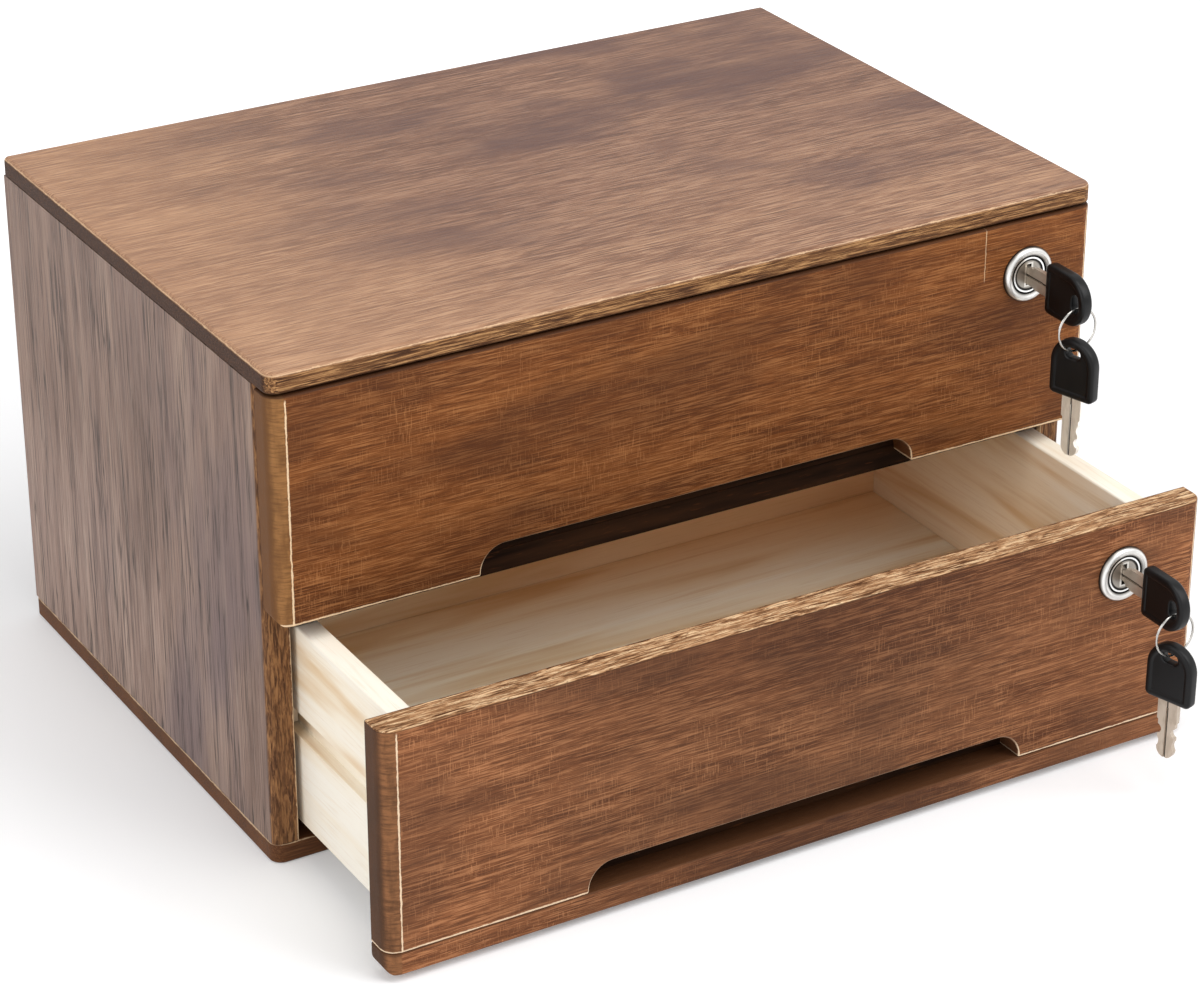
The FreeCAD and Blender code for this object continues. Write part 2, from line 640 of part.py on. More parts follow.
def runner_screw_spots():
    """All runner screws of one side panel, seen from the side."""
    return [(y, f"{low} + Sizes.runner_height / 2")
            for low in runner_heights().values() for y in runner_screw_places()]


def make_runners():
    """Four strips that the drawers hang on, with their screws."""
    screws = []
    for level, low in runner_heights().items():
        for hand, sign in HANDS.items():
            left = "-Places.side_inner" if sign < 0 \
                else "Places.side_inner - Sizes.runner_thickness"
            body = block(f"{level}_{hand}_runner", left, "Places.runner_y", low,
                         "Sizes.runner_thickness", "Places.runner_length", "Sizes.runner_height")
            face = f"{sign} * (Places.side_inner - Sizes.runner_thickness)"
            middle = f"{low} + Sizes.runner_height / 2"
            spots = [(y, middle) for y in runner_screw_places()]
            radius = "(Sizes.runner_screw_radius + Sizes.hole_clearance)"
            drill(body, "YZ_Plane", face, spots, radius, "Sizes.runner_thickness")
            sink(body, radius, "Sizes.runner_screw_head_radius", "x", face)
            keep(body)
            length = "(Sizes.runner_thickness + Sizes.runner_screw_bite)"
            start = f"{sign} * (Places.side_inner - Sizes.runner_thickness" \
                    " + Sizes.screw_recess)"
            for step, (y, z) in enumerate(spots, start=1):
                screws.append(screw(f"{level}_{hand}_runner_screw_{step}", start, y, z,
                                    TO_LEFT if sign < 0 else TO_RIGHT,
                                    "Sizes.runner_screw_head_radius",
                                    "Sizes.runner_screw_radius", length))
    keep(group("runner_screws", screws))


def in_drawer(level, thing):
    """Stand a piece in its drawer. Its own origin is under the front, in the front plane."""
    place(thing, "0", f"Places.{level}_drawer_y", f"Places.{level}_front_z")
    return keep(thing)


def front_screw_spots():
    """Screws from the inner front into the front, seen from the front."""
    return [(f"{step} * Sizes.front_screw_step", "Sizes.front_screw_rise")
            for step in (-3, -1, 1, 3)]


def strip_screw_spots():
    """Screws up through the strip, seen from above."""
    middle = "Places.front_face + Sizes.front_thickness / 2"
    return [(f"{sign} * (Sizes.strip_screw_near + {step} * Sizes.strip_screw_step)", middle)
            for sign in HANDS.values() for step in (0, 1)]


def notch_corners():
    """The finger cut-out in a front's lower edge, from its left mouth to its right one."""
    half = "Sizes.notch_width / 2"
    mouth = "Sizes.notch_mouth_round"
    roof = "(Sizes.notch_height - Sizes.notch_mouth_round)"
    return [
        (f"-{half} - {mouth}", "0", mouth, "left"),
        (f"-{half}", mouth, roof, "right"),
        (f"-{half} + {roof}", "Sizes.notch_height"),
        (f"{half} - {roof}", "Sizes.notch_height", roof, "right"),
        (f"{half}", mouth, mouth, "left"),
        (f"{half} + {mouth}", "0"),
    ]


def ease_front(body, low, high):
    """Round a front's vertical ends and ease its upper and lower edges."""
    face = value("Places.front_face")
    back = value("-Sizes.front_gap")
    half = value("Places.half_width")
    round_edges(body, "Sizes.front_end_round", lambda edge: is_upright(edge)
                and near(edge.BoundBox.YMin, face) and near(abs(edge.BoundBox.XMin), half))
    round_edges(body, "Sizes.front_edge_round",
                lambda edge: (is_level(edge, value(low)) or is_level(edge, value(high)))
                and middle_of(edge).y < back - SAME_PLACE and edge.Length > SHORTEST_LONG_EDGE)


def round_low_corners(body, low):
    """Round a front's two lowest corners, seen from the front."""
    radius = "Sizes.front_corner_round"
    outside = "Sizes.front_edge_round"
    for sign in HANDS.values():
        end = f"{sign} * Places.half_width"
        corners = [
            (f"{end} - {sign} * {radius}", low),
            (end, f"{low} + {radius}"),
            (f"{end} + {sign} * {outside}", f"{low} + {radius}"),
            (f"{end} + {sign} * {outside}", f"{low} - {outside}"),
            (f"{end} - {sign} * {radius}", f"{low} - {outside}"),
        ]
        corners[0] += (radius, "left" if sign > 0 else "right")
        sketch = sketch_on(body, "XZ_Plane", "Places.front_face")
        outline(sketch, corners)
        pocket(body, sketch, "Sizes.front_thickness")


def make_front(level):
    """A drawer front with its finger cut-out, lock hole and screw holes."""
    body = new_body(level + "_drawer_front")
    sketch = sketch_on(body, "XZ_Plane", "Places.front_face")
    half = "Places.half_width"
    outline(sketch, [(f"-{half}", "0")] + notch_corners()
            + [(half, "0"), (half, "Sizes.front_height"), (f"-{half}", "Sizes.front_height")])
    pad(body, sketch, "Sizes.front_thickness")
    ease_front(body, "0", "Sizes.front_height")
    if level == "upper":
        round_low_corners(body, "0")
    drill(body, "XZ_Plane", "Places.front_face", [(f"Places.{level}_lock_x", "Places.lock_z")],
          "Sizes.barrel_radius + Sizes.barrel_clearance", "Sizes.front_thickness")
    drill(body, "XZ_Plane", "-Sizes.front_gap", front_screw_spots(),
          "Sizes.screw_radius + Sizes.hole_clearance",
          "Sizes.front_screw_bite + Sizes.hole_clearance")
    if level == "lower":
        drill(body, "XY_Plane", "0", strip_screw_spots(),
              "Sizes.screw_radius + Sizes.hole_clearance",
              "Sizes.strip_screw_bite + Sizes.screw_recess + Sizes.hole_clearance")
    in_drawer(level, body)


def make_base_strip():
    """The strip under the lower front, and the screws that hold it."""
    body = block("lower_front_base_strip", "-Places.half_width", "Places.front_face",
                 "-Sizes.strip_height", "Sizes.cabinet_width", "Sizes.front_thickness",
                 "Sizes.strip_height")
    ease_front(body, "-Sizes.strip_height", "0")
    round_low_corners(body, "-Sizes.strip_height")
    radius = "(Sizes.screw_radius + Sizes.hole_clearance)"
    drill(body, "XY_Plane", "-Sizes.strip_height", strip_screw_spots(), radius,
          "Sizes.strip_height")
    sink(body, radius, "Sizes.screw_head_radius", "z", "-Sizes.strip_height")
    in_drawer("lower", body)
    screws = [screw(f"strip_screw_{index}", x, y, "Sizes.screw_recess - Sizes.strip_height", UP,
                    "Sizes.screw_head_radius", "Sizes.screw_radius",
                    "(Sizes.strip_height + Sizes.strip_screw_bite)")
              for index, (x, y) in enumerate(strip_screw_spots(), start=1)]
    in_drawer("lower", group("base_strip_screws", screws))


def make_inner_front(level):
    """The board behind a front, between the box sides."""
    low = "Sizes.box_lift" if level == "upper" else "(-Sizes.inner_front_foot)"
    body = block(level + "_drawer_inner_front", "-Places.box_inner", "-Sizes.front_gap", low,
                 "2 * Places.box_inner", "Sizes.inner_front_thickness",
                 f"Sizes.box_lift + Places.box_height - Sizes.inner_front_drop - {low}")
    back = "Places.inner_front_back"
    cut_box(body, "XZ_Plane", back, "-Places.box_inner", "Places.bottom_z",
            "2 * Places.box_inner", "Sizes.bottom_thickness + Sizes.bottom_play",
            "Sizes.bottom_groove")
    drill(body, "XZ_Plane", back, [(f"Places.{level}_lock_x", "Places.lock_z")],
          "Sizes.barrel_radius + Sizes.barrel_clearance", "Sizes.inner_front_thickness")
    radius = "(Sizes.screw_radius + Sizes.hole_clearance)"
    drill(body, "XZ_Plane", back, front_screw_spots(), radius, "Sizes.inner_front_thickness")
    sink(body, radius, "Sizes.screw_head_radius", "y", back)
    in_drawer(level, body)
    screws = [screw(f"{level}_front_screw_{index}", x, f"{back} - Sizes.screw_recess", z, TO_FRONT,
                    "Sizes.screw_head_radius", "Sizes.screw_radius",
                    "(Sizes.inner_front_thickness + Sizes.front_screw_bite - Sizes.screw_recess)")
              for index, (x, z) in enumerate(front_screw_spots(), start=1)]
    in_drawer(level, group(level + "_front_screws", screws))


def make_box_side(level, hand):
    """A drawer side with the runner's groove outside and the bottom's groove inside."""
    sign = HANDS[hand]
    left = "-Places.box_outer" if sign < 0 else "Places.box_inner"
    length = "Places.box_end + Sizes.front_gap"
    body = block(f"{level}_drawer_{hand}_side", left, "-Sizes.front_gap", "Sizes.box_lift",
                 "Sizes.box_side_thickness", length, "Places.box_height")
    top = value("Sizes.box_lift + Places.box_height")
    round_edges(body, "Sizes.box_edge_round",
                lambda edge: is_level(edge, top) and edge.BoundBox.YLength > 1)
    cut_box(body, "YZ_Plane", f"{sign} * Places.box_outer", "-Sizes.front_gap",
            "Places.groove_z", length, "Places.groove_height", "Places.groove_depth")
    start = "Places.inner_front_back - Sizes.bottom_groove"
    end = "Places.box_end - Sizes.box_back_thickness + Sizes.bottom_groove"
    cut_box(body, "YZ_Plane", f"{sign} * Places.box_inner", start, "Places.bottom_z",
            f"{end} - ({start})", "Sizes.bottom_thickness + Sizes.bottom_play",
            "Sizes.bottom_groove")
    in_drawer(level, body)


def make_box_back(level):
    """The drawer's back wall."""
    face = "Places.box_end - Sizes.box_back_thickness"
    body = block(level + "_drawer_back", "-Places.box_inner", face, "Sizes.box_lift",
                 "2 * Places.box_inner", "Sizes.box_back_thickness", "Places.box_height")
    top = value("Sizes.box_lift + Places.box_height")
    round_edges(body, "Sizes.box_edge_round",
                lambda edge: is_level(edge, top) and edge.BoundBox.XLength > 1)
    cut_box(body, "XZ_Plane", face, "-Places.box_inner", "Places.bottom_z",
            "2 * Places.box_inner", "Sizes.bottom_thickness + Sizes.bottom_play",
            "Sizes.bottom_groove")
    in_drawer(level, body)


def make_box_bottom(level):
    """The drawer bottom, let into the grooves all round."""
    half = "(Places.box_inner + Places.bottom_reach)"
    start = "Places.inner_front_back - Places.bottom_reach"
    end = "Places.box_end - Sizes.box_back_thickness + Places.bottom_reach"
    body = block(level + "_drawer_bottom", f"-{half}", start, "Places.bottom_z", f"2 * {half}",
                 f"{end} - ({start})", "Sizes.bottom_thickness")
    in_drawer(level, body)


def at_lock(level, thing, y="0"):
    """Stand a piece on a lock's axis, y behind the front's face."""
    place(thing, f"Places.{level}_lock_x", f"Places.{level}_drawer_y + Places.front_face + {y}",
          f"Places.{level}_front_z + Places.lock_z")
    return keep(thing)


def revolve(name, corners):
    """A turned piece about the Y axis, from an outline of radius and depth."""
    body = new_body(name)
    sketch = sketch_on(body, "XY_Plane")
    outline(sketch, corners)
    feature = body.newObject("PartDesign::Revolution", name + "_turning")
    feature.Profile = sketch
    feature.ReferenceAxis = (sketch, ["V_Axis"])
    feature.Angle = 360
    return body


def make_lock_barrel(level):
    """The lock's fixed part: the domed rim on the front and the barrel through the wood."""
    bore = "Sizes.plug_radius + Sizes.plug_clearance"
    end = "Places.barrel_end"
    body = revolve(level + "_lock_barrel", [
        (bore, end),
        (bore, "Sizes.gap_ring_depth"),
        ("Sizes.gap_ring_radius", "Sizes.gap_ring_depth"),
        ("Sizes.gap_ring_radius", "-Sizes.bezel_mouth_height"),
        ("Sizes.bezel_crest_radius", "-Sizes.bezel_height", "Sizes.bezel_height", "left"),
        ("Sizes.bezel_radius", "-Sizes.bezel_rim"),
        ("Sizes.bezel_radius", "0"),
        ("Sizes.barrel_radius", "0"),
        ("Sizes.barrel_radius", end),
    ])
    flat = "(Sizes.barrel_radius - Sizes.clip_slot)"
    for sign in HANDS.values():
        cut_box(body, "YZ_Plane", f"{sign} * Sizes.barrel_radius", "Places.clip_y",
                "-Sizes.barrel_radius", "Sizes.clip_thickness + Sizes.hole_clearance",
                "2 * Sizes.barrel_radius", f"Sizes.barrel_radius - {flat}")
    at_lock(level, body)


def make_lock_clip(level):
    """The spring clip that grips the barrel behind the inner front."""
    body = new_body(level + "_lock_clip")
    sketch = sketch_on(body, "XZ_Plane", "Places.clip_y")
    inner = "(Sizes.barrel_radius - Sizes.clip_slot + Sizes.hole_clearance)"
    outer = "(Sizes.barrel_radius + Sizes.clip_stand)"
    roof = "(Sizes.barrel_radius + Sizes.hole_clearance)"
    outline(sketch, [
        (f"-{outer}", f"-{outer}"),
        (f"-{inner}", f"-{outer}"),
        (f"-{inner}", roof),
        (inner, roof),
        (inner, f"-{outer}"),
        (outer, f"-{outer}"),
        (outer, f"{roof} + Sizes.clip_bridge"),
        (f"-{outer}", f"{roof} + Sizes.clip_bridge"),
    ])
    pad(body, sketch, "Sizes.clip_thickness")
    at_lock(level, body)


def make_lock_plug(level):
    """The turning plug: ringed head, key slot, and a square end for the cam."""
    ring = "Sizes.plug_head_radius - Sizes.plug_head_ring"
    face = "-Sizes.plug_face_height"
    under = "Sizes.gap_ring_depth - 2 * Sizes.plug_clearance"
    body = revolve(level + "_lock_plug", [
        ("0", "Places.cam_y"),
        ("0", face),
        (f"{ring} - Sizes.plug_groove_width", face),
        (f"{ring} - Sizes.plug_groove_width", f"{face} + Sizes.plug_groove_depth"),
        (ring, f"{face} + Sizes.plug_groove_depth"),
        (ring, f"{face} - Sizes.plug_ring_height"),
        ("Sizes.plug_head_radius", f"{face} - Sizes.plug_ring_height"),
        ("Sizes.plug_head_radius", under),
        ("Sizes.plug_radius", under),
        ("Sizes.plug_radius", "Places.cam_y"),
    ])
    square = sketch_on(body, "XZ_Plane", "Places.cam_y")
    rectangle(square, "-Sizes.cam_square / 2", "-Sizes.cam_square / 2", "Sizes.cam_square",
              "Sizes.cam_square")
    pad(body, square, "Sizes.cam_thickness")
    cut_box(body, "XZ_Plane", face, "-Sizes.keyway_width / 2", "-Sizes.keyway_height / 2",
            "Sizes.keyway_width", "Sizes.keyway_height", "Sizes.keyway_depth")
    drill(body, "XZ_Plane", "Places.cam_y + Sizes.cam_thickness", [("0", "0")],
          "Sizes.cam_screw_radius + Sizes.hole_clearance",
          "Sizes.cam_screw_length + Sizes.hole_clearance")
    at_lock(level, body)


def make_lock_cam(level):
    """The cam, which points to the left unlocked and up locked, and its screw."""
    body = new_body(level + "_lock_cam")
    half = "Sizes.cam_width / 2"
    shoulder = f"{half} - Places.cam_reach"
    sketch = sketch_on(body, "XZ_Plane", "Places.cam_y")
    outline(sketch, [
        ("0", half),
        (shoulder, half, half, "left"),
        ("-Places.cam_reach", "0", half, "left"),
        (shoulder, f"-({half})"),
        ("0", f"-({half})", half, "left"),
        (half, "0", half, "left"),
    ])
    pad(body, sketch, "Sizes.cam_thickness")
    hole = "(Sizes.cam_square / 2 + Sizes.cam_fit)"
    cut_box(body, "XZ_Plane", "Places.cam_y", f"-{hole}", f"-{hole}", f"2 * {hole}",
            f"2 * {hole}", "Sizes.cam_thickness")
    at_lock(level, body)
    rear = "Places.cam_y + Sizes.cam_thickness"
    head = pin(level + "_cam_screw_head", "0", f"{rear} + Sizes.cam_screw_head_height", "0",
               TO_FRONT, "Sizes.cam_screw_head_radius", "Sizes.cam_screw_head_height")
    shank = pin(level + "_cam_screw_shank", "0", rear, "0", TO_FRONT, "Sizes.cam_screw_radius",
                "Sizes.cam_screw_length")
    cam_screw = doc.addObject("Part::MultiFuse", level + "_lock_cam_screw")
    cam_screw.Label = level + "_lock_cam_screw"
    cam_screw.Shapes = [head, shank]
    at_lock(level, cam_screw)


def key_place(level, thing, spare):
    """Stand a key piece. Its own origin is the middle of the hole in the key's head."""
    x = f"Places.{level}_lock_x"
    y = f"Places.{level}_drawer_y + Places.front_face + Places.key_hole_y"
    z = f"Places.{level}_front_z + Places.lock_z"
    if spare:
        place(thing, x, y, f"{z} + Places.spare_hole_z", ((0, 0, 1), value("Sizes.spare_key_turn")))
    else:
        place(thing, x, y, z, TO_FRONT)
    keep(thing)


def make_key_head(level, name, spare):
    """A moulded key head: round at the hole, straight beside the blade."""
    body = new_body(name + "_head")
    sketch = sketch_on(body, "YZ_Plane")
    half = "Sizes.key_head_width / 2"
    corner = "Sizes.key_head_corner"
    low = "Places.head_bottom"
    shoulder = f"Sizes.key_hole_inset - {half}"
    outline(sketch, [
        (f"-({half}) + {corner}", low),
        (f"{half} - {corner}", low, corner, "left"),
        (half, f"{low} + {corner}"),
        (half, shoulder, half, "left"),
        ("0", "Sizes.key_hole_inset", half, "left"),
        (f"-({half})", shoulder),
        (f"-({half})", f"{low} + {corner}", corner, "left"),
    ])
    pad(body, sketch, "Sizes.key_head_thickness", symmetric=True)
    face = value("Sizes.key_head_thickness") / 2
    round_edges(body, "Sizes.key_head_edge_round",
                lambda edge: near(edge.BoundBox.XLength, 0) and near(abs(edge.BoundBox.XMin), face))
    hole = sketch_on(body, "YZ_Plane")
    end = "Sizes.key_hole_height / 2"
    run = "(Sizes.key_hole_width - Sizes.key_hole_height) / 2"
    outline(hole, [
        (f"-{run}", f"-{end}"),
        (run, f"-{end}", end, "left"),
        (f"{run} + {end}", "0", end, "left"),
        (run, end),
        (f"-{run}", end, end, "left"),
        (f"-{run} - {end}", "0", end, "left"),
    ])
    pocket(body, hole, "Sizes.key_head_thickness")
    slot_half = "(Places.blade_thickness / 2 + Sizes.hole_clearance)"
    blade_half = "(Places.blade_width / 2 + Sizes.hole_clearance)"
    cut_box(body, "XY_Plane", low, f"-{slot_half}", f"-{blade_half}", f"2 * {slot_half}",
            f"2 * {blade_half}", "Sizes.key_tang + Sizes.hole_clearance")
    key_place(level, body, spare)


def blade_side(sign, bites):
    """One side of a blade from its tang down to its last bite. A bite is a hollow arc."""
    edge = f"{sign} * Places.blade_width / 2"
    neck = f"{sign} * Sizes.key_neck_width / 2"
    neck_end = "Places.head_bottom - Sizes.key_neck"
    slope = "(Sizes.key_neck_width - Places.blade_width) / 2"
    corners = [
        (edge, "Places.head_bottom + Sizes.key_tang"),
        (edge, "Places.head_bottom"),
        (neck, "Places.head_bottom"),
        (neck, neck_end),
        (edge, f"{neck_end} - {slope}"),
    ]
    for spot, depth in bites:
        top = f"Places.head_bottom - Sizes.{spot}"
        arc = (f"Sizes.bite_width ^ 2 / (8 * Sizes.{depth}) + Sizes.{depth} / 2", "right")
        upper_end = (edge, top)
        lower_end = (edge, f"{top} - Sizes.bite_width")
        corners += [upper_end + arc, lower_end] if sign < 0 else [upper_end, lower_end + arc]
    return corners


def make_key_blade(level, name, spare):
    """A key blade: tang, neck, bites, round tip and a groove along each flat."""
    body = new_body(name + "_blade")
    half = "Places.blade_width / 2"
    if level == "upper":
        left = []
        right = [("first_bite", "shallow_bite"), ("second_bite", "deep_bite")]
    else:
        left = right = [("first_bite", "deep_bite"), ("second_bite", "shallow_bite")]
    tip = [
        (f"-({half})", f"Places.blade_tip + {half}", half, "left"),
        ("0", "Places.blade_tip", half, "left"),
        (half, f"Places.blade_tip + {half}"),
    ]
    sketch = sketch_on(body, "YZ_Plane")
    outline(sketch, blade_side(-1, left) + tip + blade_side(1, right)[::-1])
    pad(body, sketch, "Places.blade_thickness", symmetric=True)
    groove_half = "(Sizes.blade_groove_width / 2)"
    for sign in HANDS.values():
        cut_box(body, "YZ_Plane", f"{sign} * Places.blade_thickness / 2", f"-{groove_half}",
                "Places.blade_tip", f"2 * {groove_half}",
                "Sizes.key_blade_length - Sizes.blade_groove_gap", "Sizes.blade_groove_depth")
    key_place(level, body, spare)


def make_key_ring(level):
    """The wire ring through both keys' holes."""
    ring = doc.addObject("Part::Torus", level + "_key_ring")
    ring.Label = level + "_key_ring"
    ring.setExpression("Radius1", "Sizes.ring_radius")
    ring.setExpression("Radius2", "Sizes.wire_radius")
    place(ring, f"Places.{level}_lock_x",
          f"Places.{level}_drawer_y + Places.front_face + Places.key_hole_y",
          f"Places.{level}_front_z + Places.lock_z + Places.ring_z", TO_FRONT)
    keep(ring)


def make_drawer(level):
    """One drawer with its lock and keys."""
    make_front(level)
    make_inner_front(level)
    for hand in HANDS:
        make_box_side(level, hand)
    make_box_back(level)
    make_box_bottom(level)
    make_lock_barrel(level)
    make_lock_clip(level)
    make_lock_plug(level)
    make_lock_cam(level)
    for name, spare in ((level + "_key", False), (level + "_spare_key", True)):
        make_key_blade(level, name, spare)
        make_key_head(level, name, spare)
    make_key_ring(level)


def check_document():
    """Stop if anything failed, so that no broken piece is written."""
    doc.recompute()
    for thing in doc.Objects:
        if {"Invalid", "Error"} & set(thing.State):
            raise ValueError(f"{thing.Name} failed: {thing.State}")
    for node in nodes:
        shape = node.Shape
        if shape.isNull() or not shape.isValid() or not shape.Solids:
            raise ValueError(f"{node.Label} is not a sound solid")


def write_parts():
    """One file for each piece."""
    os.makedirs("parts", exist_ok=True)
    for node in nodes:
        node.Shape.exportStep(f"parts/{node.Label}.step")
        print(f"{node.Label}: {len(node.Shape.Solids)} solid, {node.Shape.Volume:.1f} mm3")


put_sizes()
places = put_places()
make_top_board()
make_base_board()
for hand in HANDS:
    make_side_panel(hand)
make_back_panel()
make_front_rail()
make_fixings()
make_runners()
for level in LEVELS:
    make_drawer(level)
make_base_strip()
check_document()
write_parts()
print(f"{len(nodes)} pieces")
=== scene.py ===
# %% [markdown]
# # A two-drawer desk organizer in torched and brushed wood
#
# The organizer is a small wooden case with two drawers. Its boards were scorched, brushed
# along the grain and lacquered, so the soft wood lies a little lower than the hard wood, the
# arrises are rubbed pale, and smoke-dark clouds lie under the lacquer. Two cam locks sit in
# the drawer fronts with a key in each and a spare key on a wire ring.
#
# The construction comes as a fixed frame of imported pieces. This lesson dresses that frame: it
# keeps each sound board where it is and gives it its finish, and it models afresh what needs
# softer or finer shapes than the construction has.

# %% Load the frame
import math

import bmesh
import bpy
from mathutils import Matrix, Vector


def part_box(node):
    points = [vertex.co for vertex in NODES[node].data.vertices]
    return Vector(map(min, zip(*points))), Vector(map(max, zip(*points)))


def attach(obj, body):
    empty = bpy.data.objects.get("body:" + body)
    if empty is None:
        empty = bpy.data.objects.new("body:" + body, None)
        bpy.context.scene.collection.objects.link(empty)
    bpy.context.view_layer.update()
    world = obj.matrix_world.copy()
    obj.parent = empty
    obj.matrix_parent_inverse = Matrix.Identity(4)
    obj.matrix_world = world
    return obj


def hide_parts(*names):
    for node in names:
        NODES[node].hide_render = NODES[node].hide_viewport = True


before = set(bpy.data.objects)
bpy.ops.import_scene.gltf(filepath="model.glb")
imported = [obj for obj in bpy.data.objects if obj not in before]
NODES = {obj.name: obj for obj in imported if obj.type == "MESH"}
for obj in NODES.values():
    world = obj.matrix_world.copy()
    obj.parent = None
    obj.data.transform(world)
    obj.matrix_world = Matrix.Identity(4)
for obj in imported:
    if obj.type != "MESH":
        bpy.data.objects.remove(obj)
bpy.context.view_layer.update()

MM = 0.001  # a millimetre, in the frame's metres

# %% [markdown]
# ## The camera
#
# The organizer is seen from its left front corner and from above. A camera could be aimed with
# a tracking constraint, but a constraint hides the numbers that matter. Here the place and the
# three turns are written down, so that the view can be repeated on another scene. The long lens
# keeps the case from looking stretched.

# %% Set the camera
CAMERA_PLACE = (-0.6496, -1.1615, 0.7287)
CAMERA_TURN_DEGREES = (63.22, 0.0, -30.28)
CAMERA_LENS = 110.5
SENSOR_WIDTH = 36.0


def add_object(name, data):
    """Brings a camera, a lamp or a shape into the scene."""
    added = bpy.data.objects.new(name, data)
    bpy.context.scene.collection.objects.link(added)
    return added


def set_camera():
    """A long lens that looks down on the left front corner."""
    camera = add_object("camera", bpy.data.cameras.new("camera"))
    camera.data.lens = CAMERA_LENS
    camera.data.sensor_fit = "HORIZONTAL"
    camera.data.sensor_width = SENSOR_WIDTH
    camera.location = CAMERA_PLACE
    camera.rotation_euler = [math.radians(turn) for turn in CAMERA_TURN_DEGREES]
    bpy.context.scene.camera = camera
    return camera


print("lens of", set_camera().data.lens, "mm")

# %% [markdown]
# ## Building shaders in words
#
# A finish is a small machine of shader nodes. Writing every node and link out takes many lines
# and hides the idea, so a few helpers come first: each makes one node and returns the socket
# that carries its result. A finish then reads like the recipe that it is. Each helper takes a
# plain number or another socket for any of its values, and a socket knows its own node tree,
# so no recipe has to name one.

# %% Helpers for shader nodes
COLOUR_A = 6
COLOUR_B = 7
COLOUR_RESULT = 2
WHITE = (1.0, 1.0, 1.0, 1.0)


def linear(red, green, blue):
    """A screen's colour, from 0 to 255, as the linear colour that a shader wants."""
    shares = (red / 255, green / 255, blue / 255)
    curved = [s / 12.92 if s <= 0.04045 else ((s + 0.055) / 1.055) ** 2.4 for s in shares]
    return (*curved, 1.0)


def palette(**tones):
    """Named tones, each given as a screen's red, green and blue."""
    return {name: linear(*tone) for name, tone in tones.items()}


def plug(socket, value):
    """Gives a socket a plain value, or a link where the value is another socket."""
    if isinstance(value, bpy.types.NodeSocket):
        socket.id_data.links.new(value, socket)
    else:
        socket.default_value = value


def make_node(kind, inputs, **settings):
    """Makes a node beside the first socket that feeds it, and returns its outputs."""
    feed = next(value for value in inputs.values() if isinstance(value, bpy.types.NodeSocket))
    made = feed.id_data.nodes.new(kind)
    for name, setting in settings.items():
        setattr(made, name, setting)
    for place, value in inputs.items():
        plug(made.inputs[place], value)
    return made.outputs


def calc(operation, first, second=0.0):
    """One sum on two numbers."""
    return make_node("ShaderNodeMath", {0: first, 1: second}, operation=operation)[0]


def times(first, *others):
    """A share of a share, for as many shares as there are."""
    for other in others:
        first = calc("MULTIPLY", first, other)
    return first


def distance(across, up):
    """How far a point is from a middle, from its two offsets."""
    return calc("SQRT", calc("ADD", times(across, across), times(up, up)))


def combine(operation, first, second):
    """One sum on two vectors."""
    return make_node("ShaderNodeVectorMath", {0: first, 1: second}, operation=operation)[0]


def split(vector):
    """The X, Y and Z of a vector."""
    return make_node("ShaderNodeSeparateXYZ", {0: vector})


def noise(where, size, detail=3.0, roughness=0.5, distortion=0.0):
    """Soft random hills between 0 and 1, of this size in millimetres."""
    scale = 1.0 / (size * MM)
    hills = {"Vector": where, "Scale": scale, "Detail": detail, "Roughness": roughness}
    return make_node("ShaderNodeTexNoise", {**hills, "Distortion": distortion})[0]


def between(value, low, high, at_low=0.0, at_high=1.0):
    """Eases from one result to another as the value goes from low to high."""
    ends = {"From Min": low, "From Max": high, "To Min": at_low, "To Max": at_high}
    inputs = {"Value": value, **ends}
    return make_node("ShaderNodeMapRange", inputs, interpolation_type="SMOOTHSTEP")[0]


def tint(share, first, second, way="MIX"):
    """Lays the second colour over the first by a share."""
    inputs = {0: share, COLOUR_A: first, COLOUR_B: second}
    return make_node("ShaderNodeMix", inputs, data_type="RGBA", blend_type=way)[COLOUR_RESULT]


def ramp(value, *stops):
    """Reads a colour off a strip of colours. A stop is a place from 0 to 1 and a colour."""
    made = value.id_data.nodes.new("ShaderNodeValToRGB")
    strip = made.color_ramp.elements
    while len(strip) < len(stops):
        strip.new(1.0)
    for element, (place, colour) in zip(strip, stops):
        element.position = place
        element.color = colour
    plug(made.inputs[0], value)
    return made.outputs[0]


def new_finish(name):
    """A material, and a point's place on its own piece, which the grain rides on."""
    material = bpy.data.materials.new(name)
    material.use_nodes = True
    return material, material.node_tree.nodes.new("ShaderNodeTexCoord").outputs["Object"]


def shader_of(material):
    """The inputs of a material's shader."""
    return material.node_tree.nodes["Principled BSDF"].inputs


def raise_surface(material, height, depth, strength):
    """Lifts the surface for the light by up to a depth in millimetres."""
    inputs = {"Height": height, "Distance": depth * MM, "Strength": strength}
    plug(shader_of(material)["Normal"], make_node("ShaderNodeBump", inputs)[0])


def dress(material, *names):
    """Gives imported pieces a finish."""
    for name in names:
        slots = NODES[name].data.materials
        if len(slots):
            slots[0] = material
        else:
            slots.append(material)


def coat(material, colour, roughness, *pieces, metallic=0.0, sheen=0.5):
    """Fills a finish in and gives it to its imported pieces."""
    values = {"Base Color": colour, "Roughness": roughness, "Metallic": metallic}
    for name, value in {**values, "Specular IOR Level": sheen}.items():
        plug(shader_of(material)[name], value)
    dress(material, *pieces)


print("helpers are ready")

# %% [markdown]
# ## The floor and the light
#
# The organizer stands on a plain white sweep. A floor under one hard lamp would throw a black
# shadow, so three large soft boxes do the work: a broad one above the right front, one overhead
# that reaches into the open drawer and a weaker one on the left, with pale air all round. Away
# from the organizer the sweep rises towards the lamps and turns white; a little light of its own,
# for the camera only, does that here. Near the organizer it keeps its soft grey shadow.

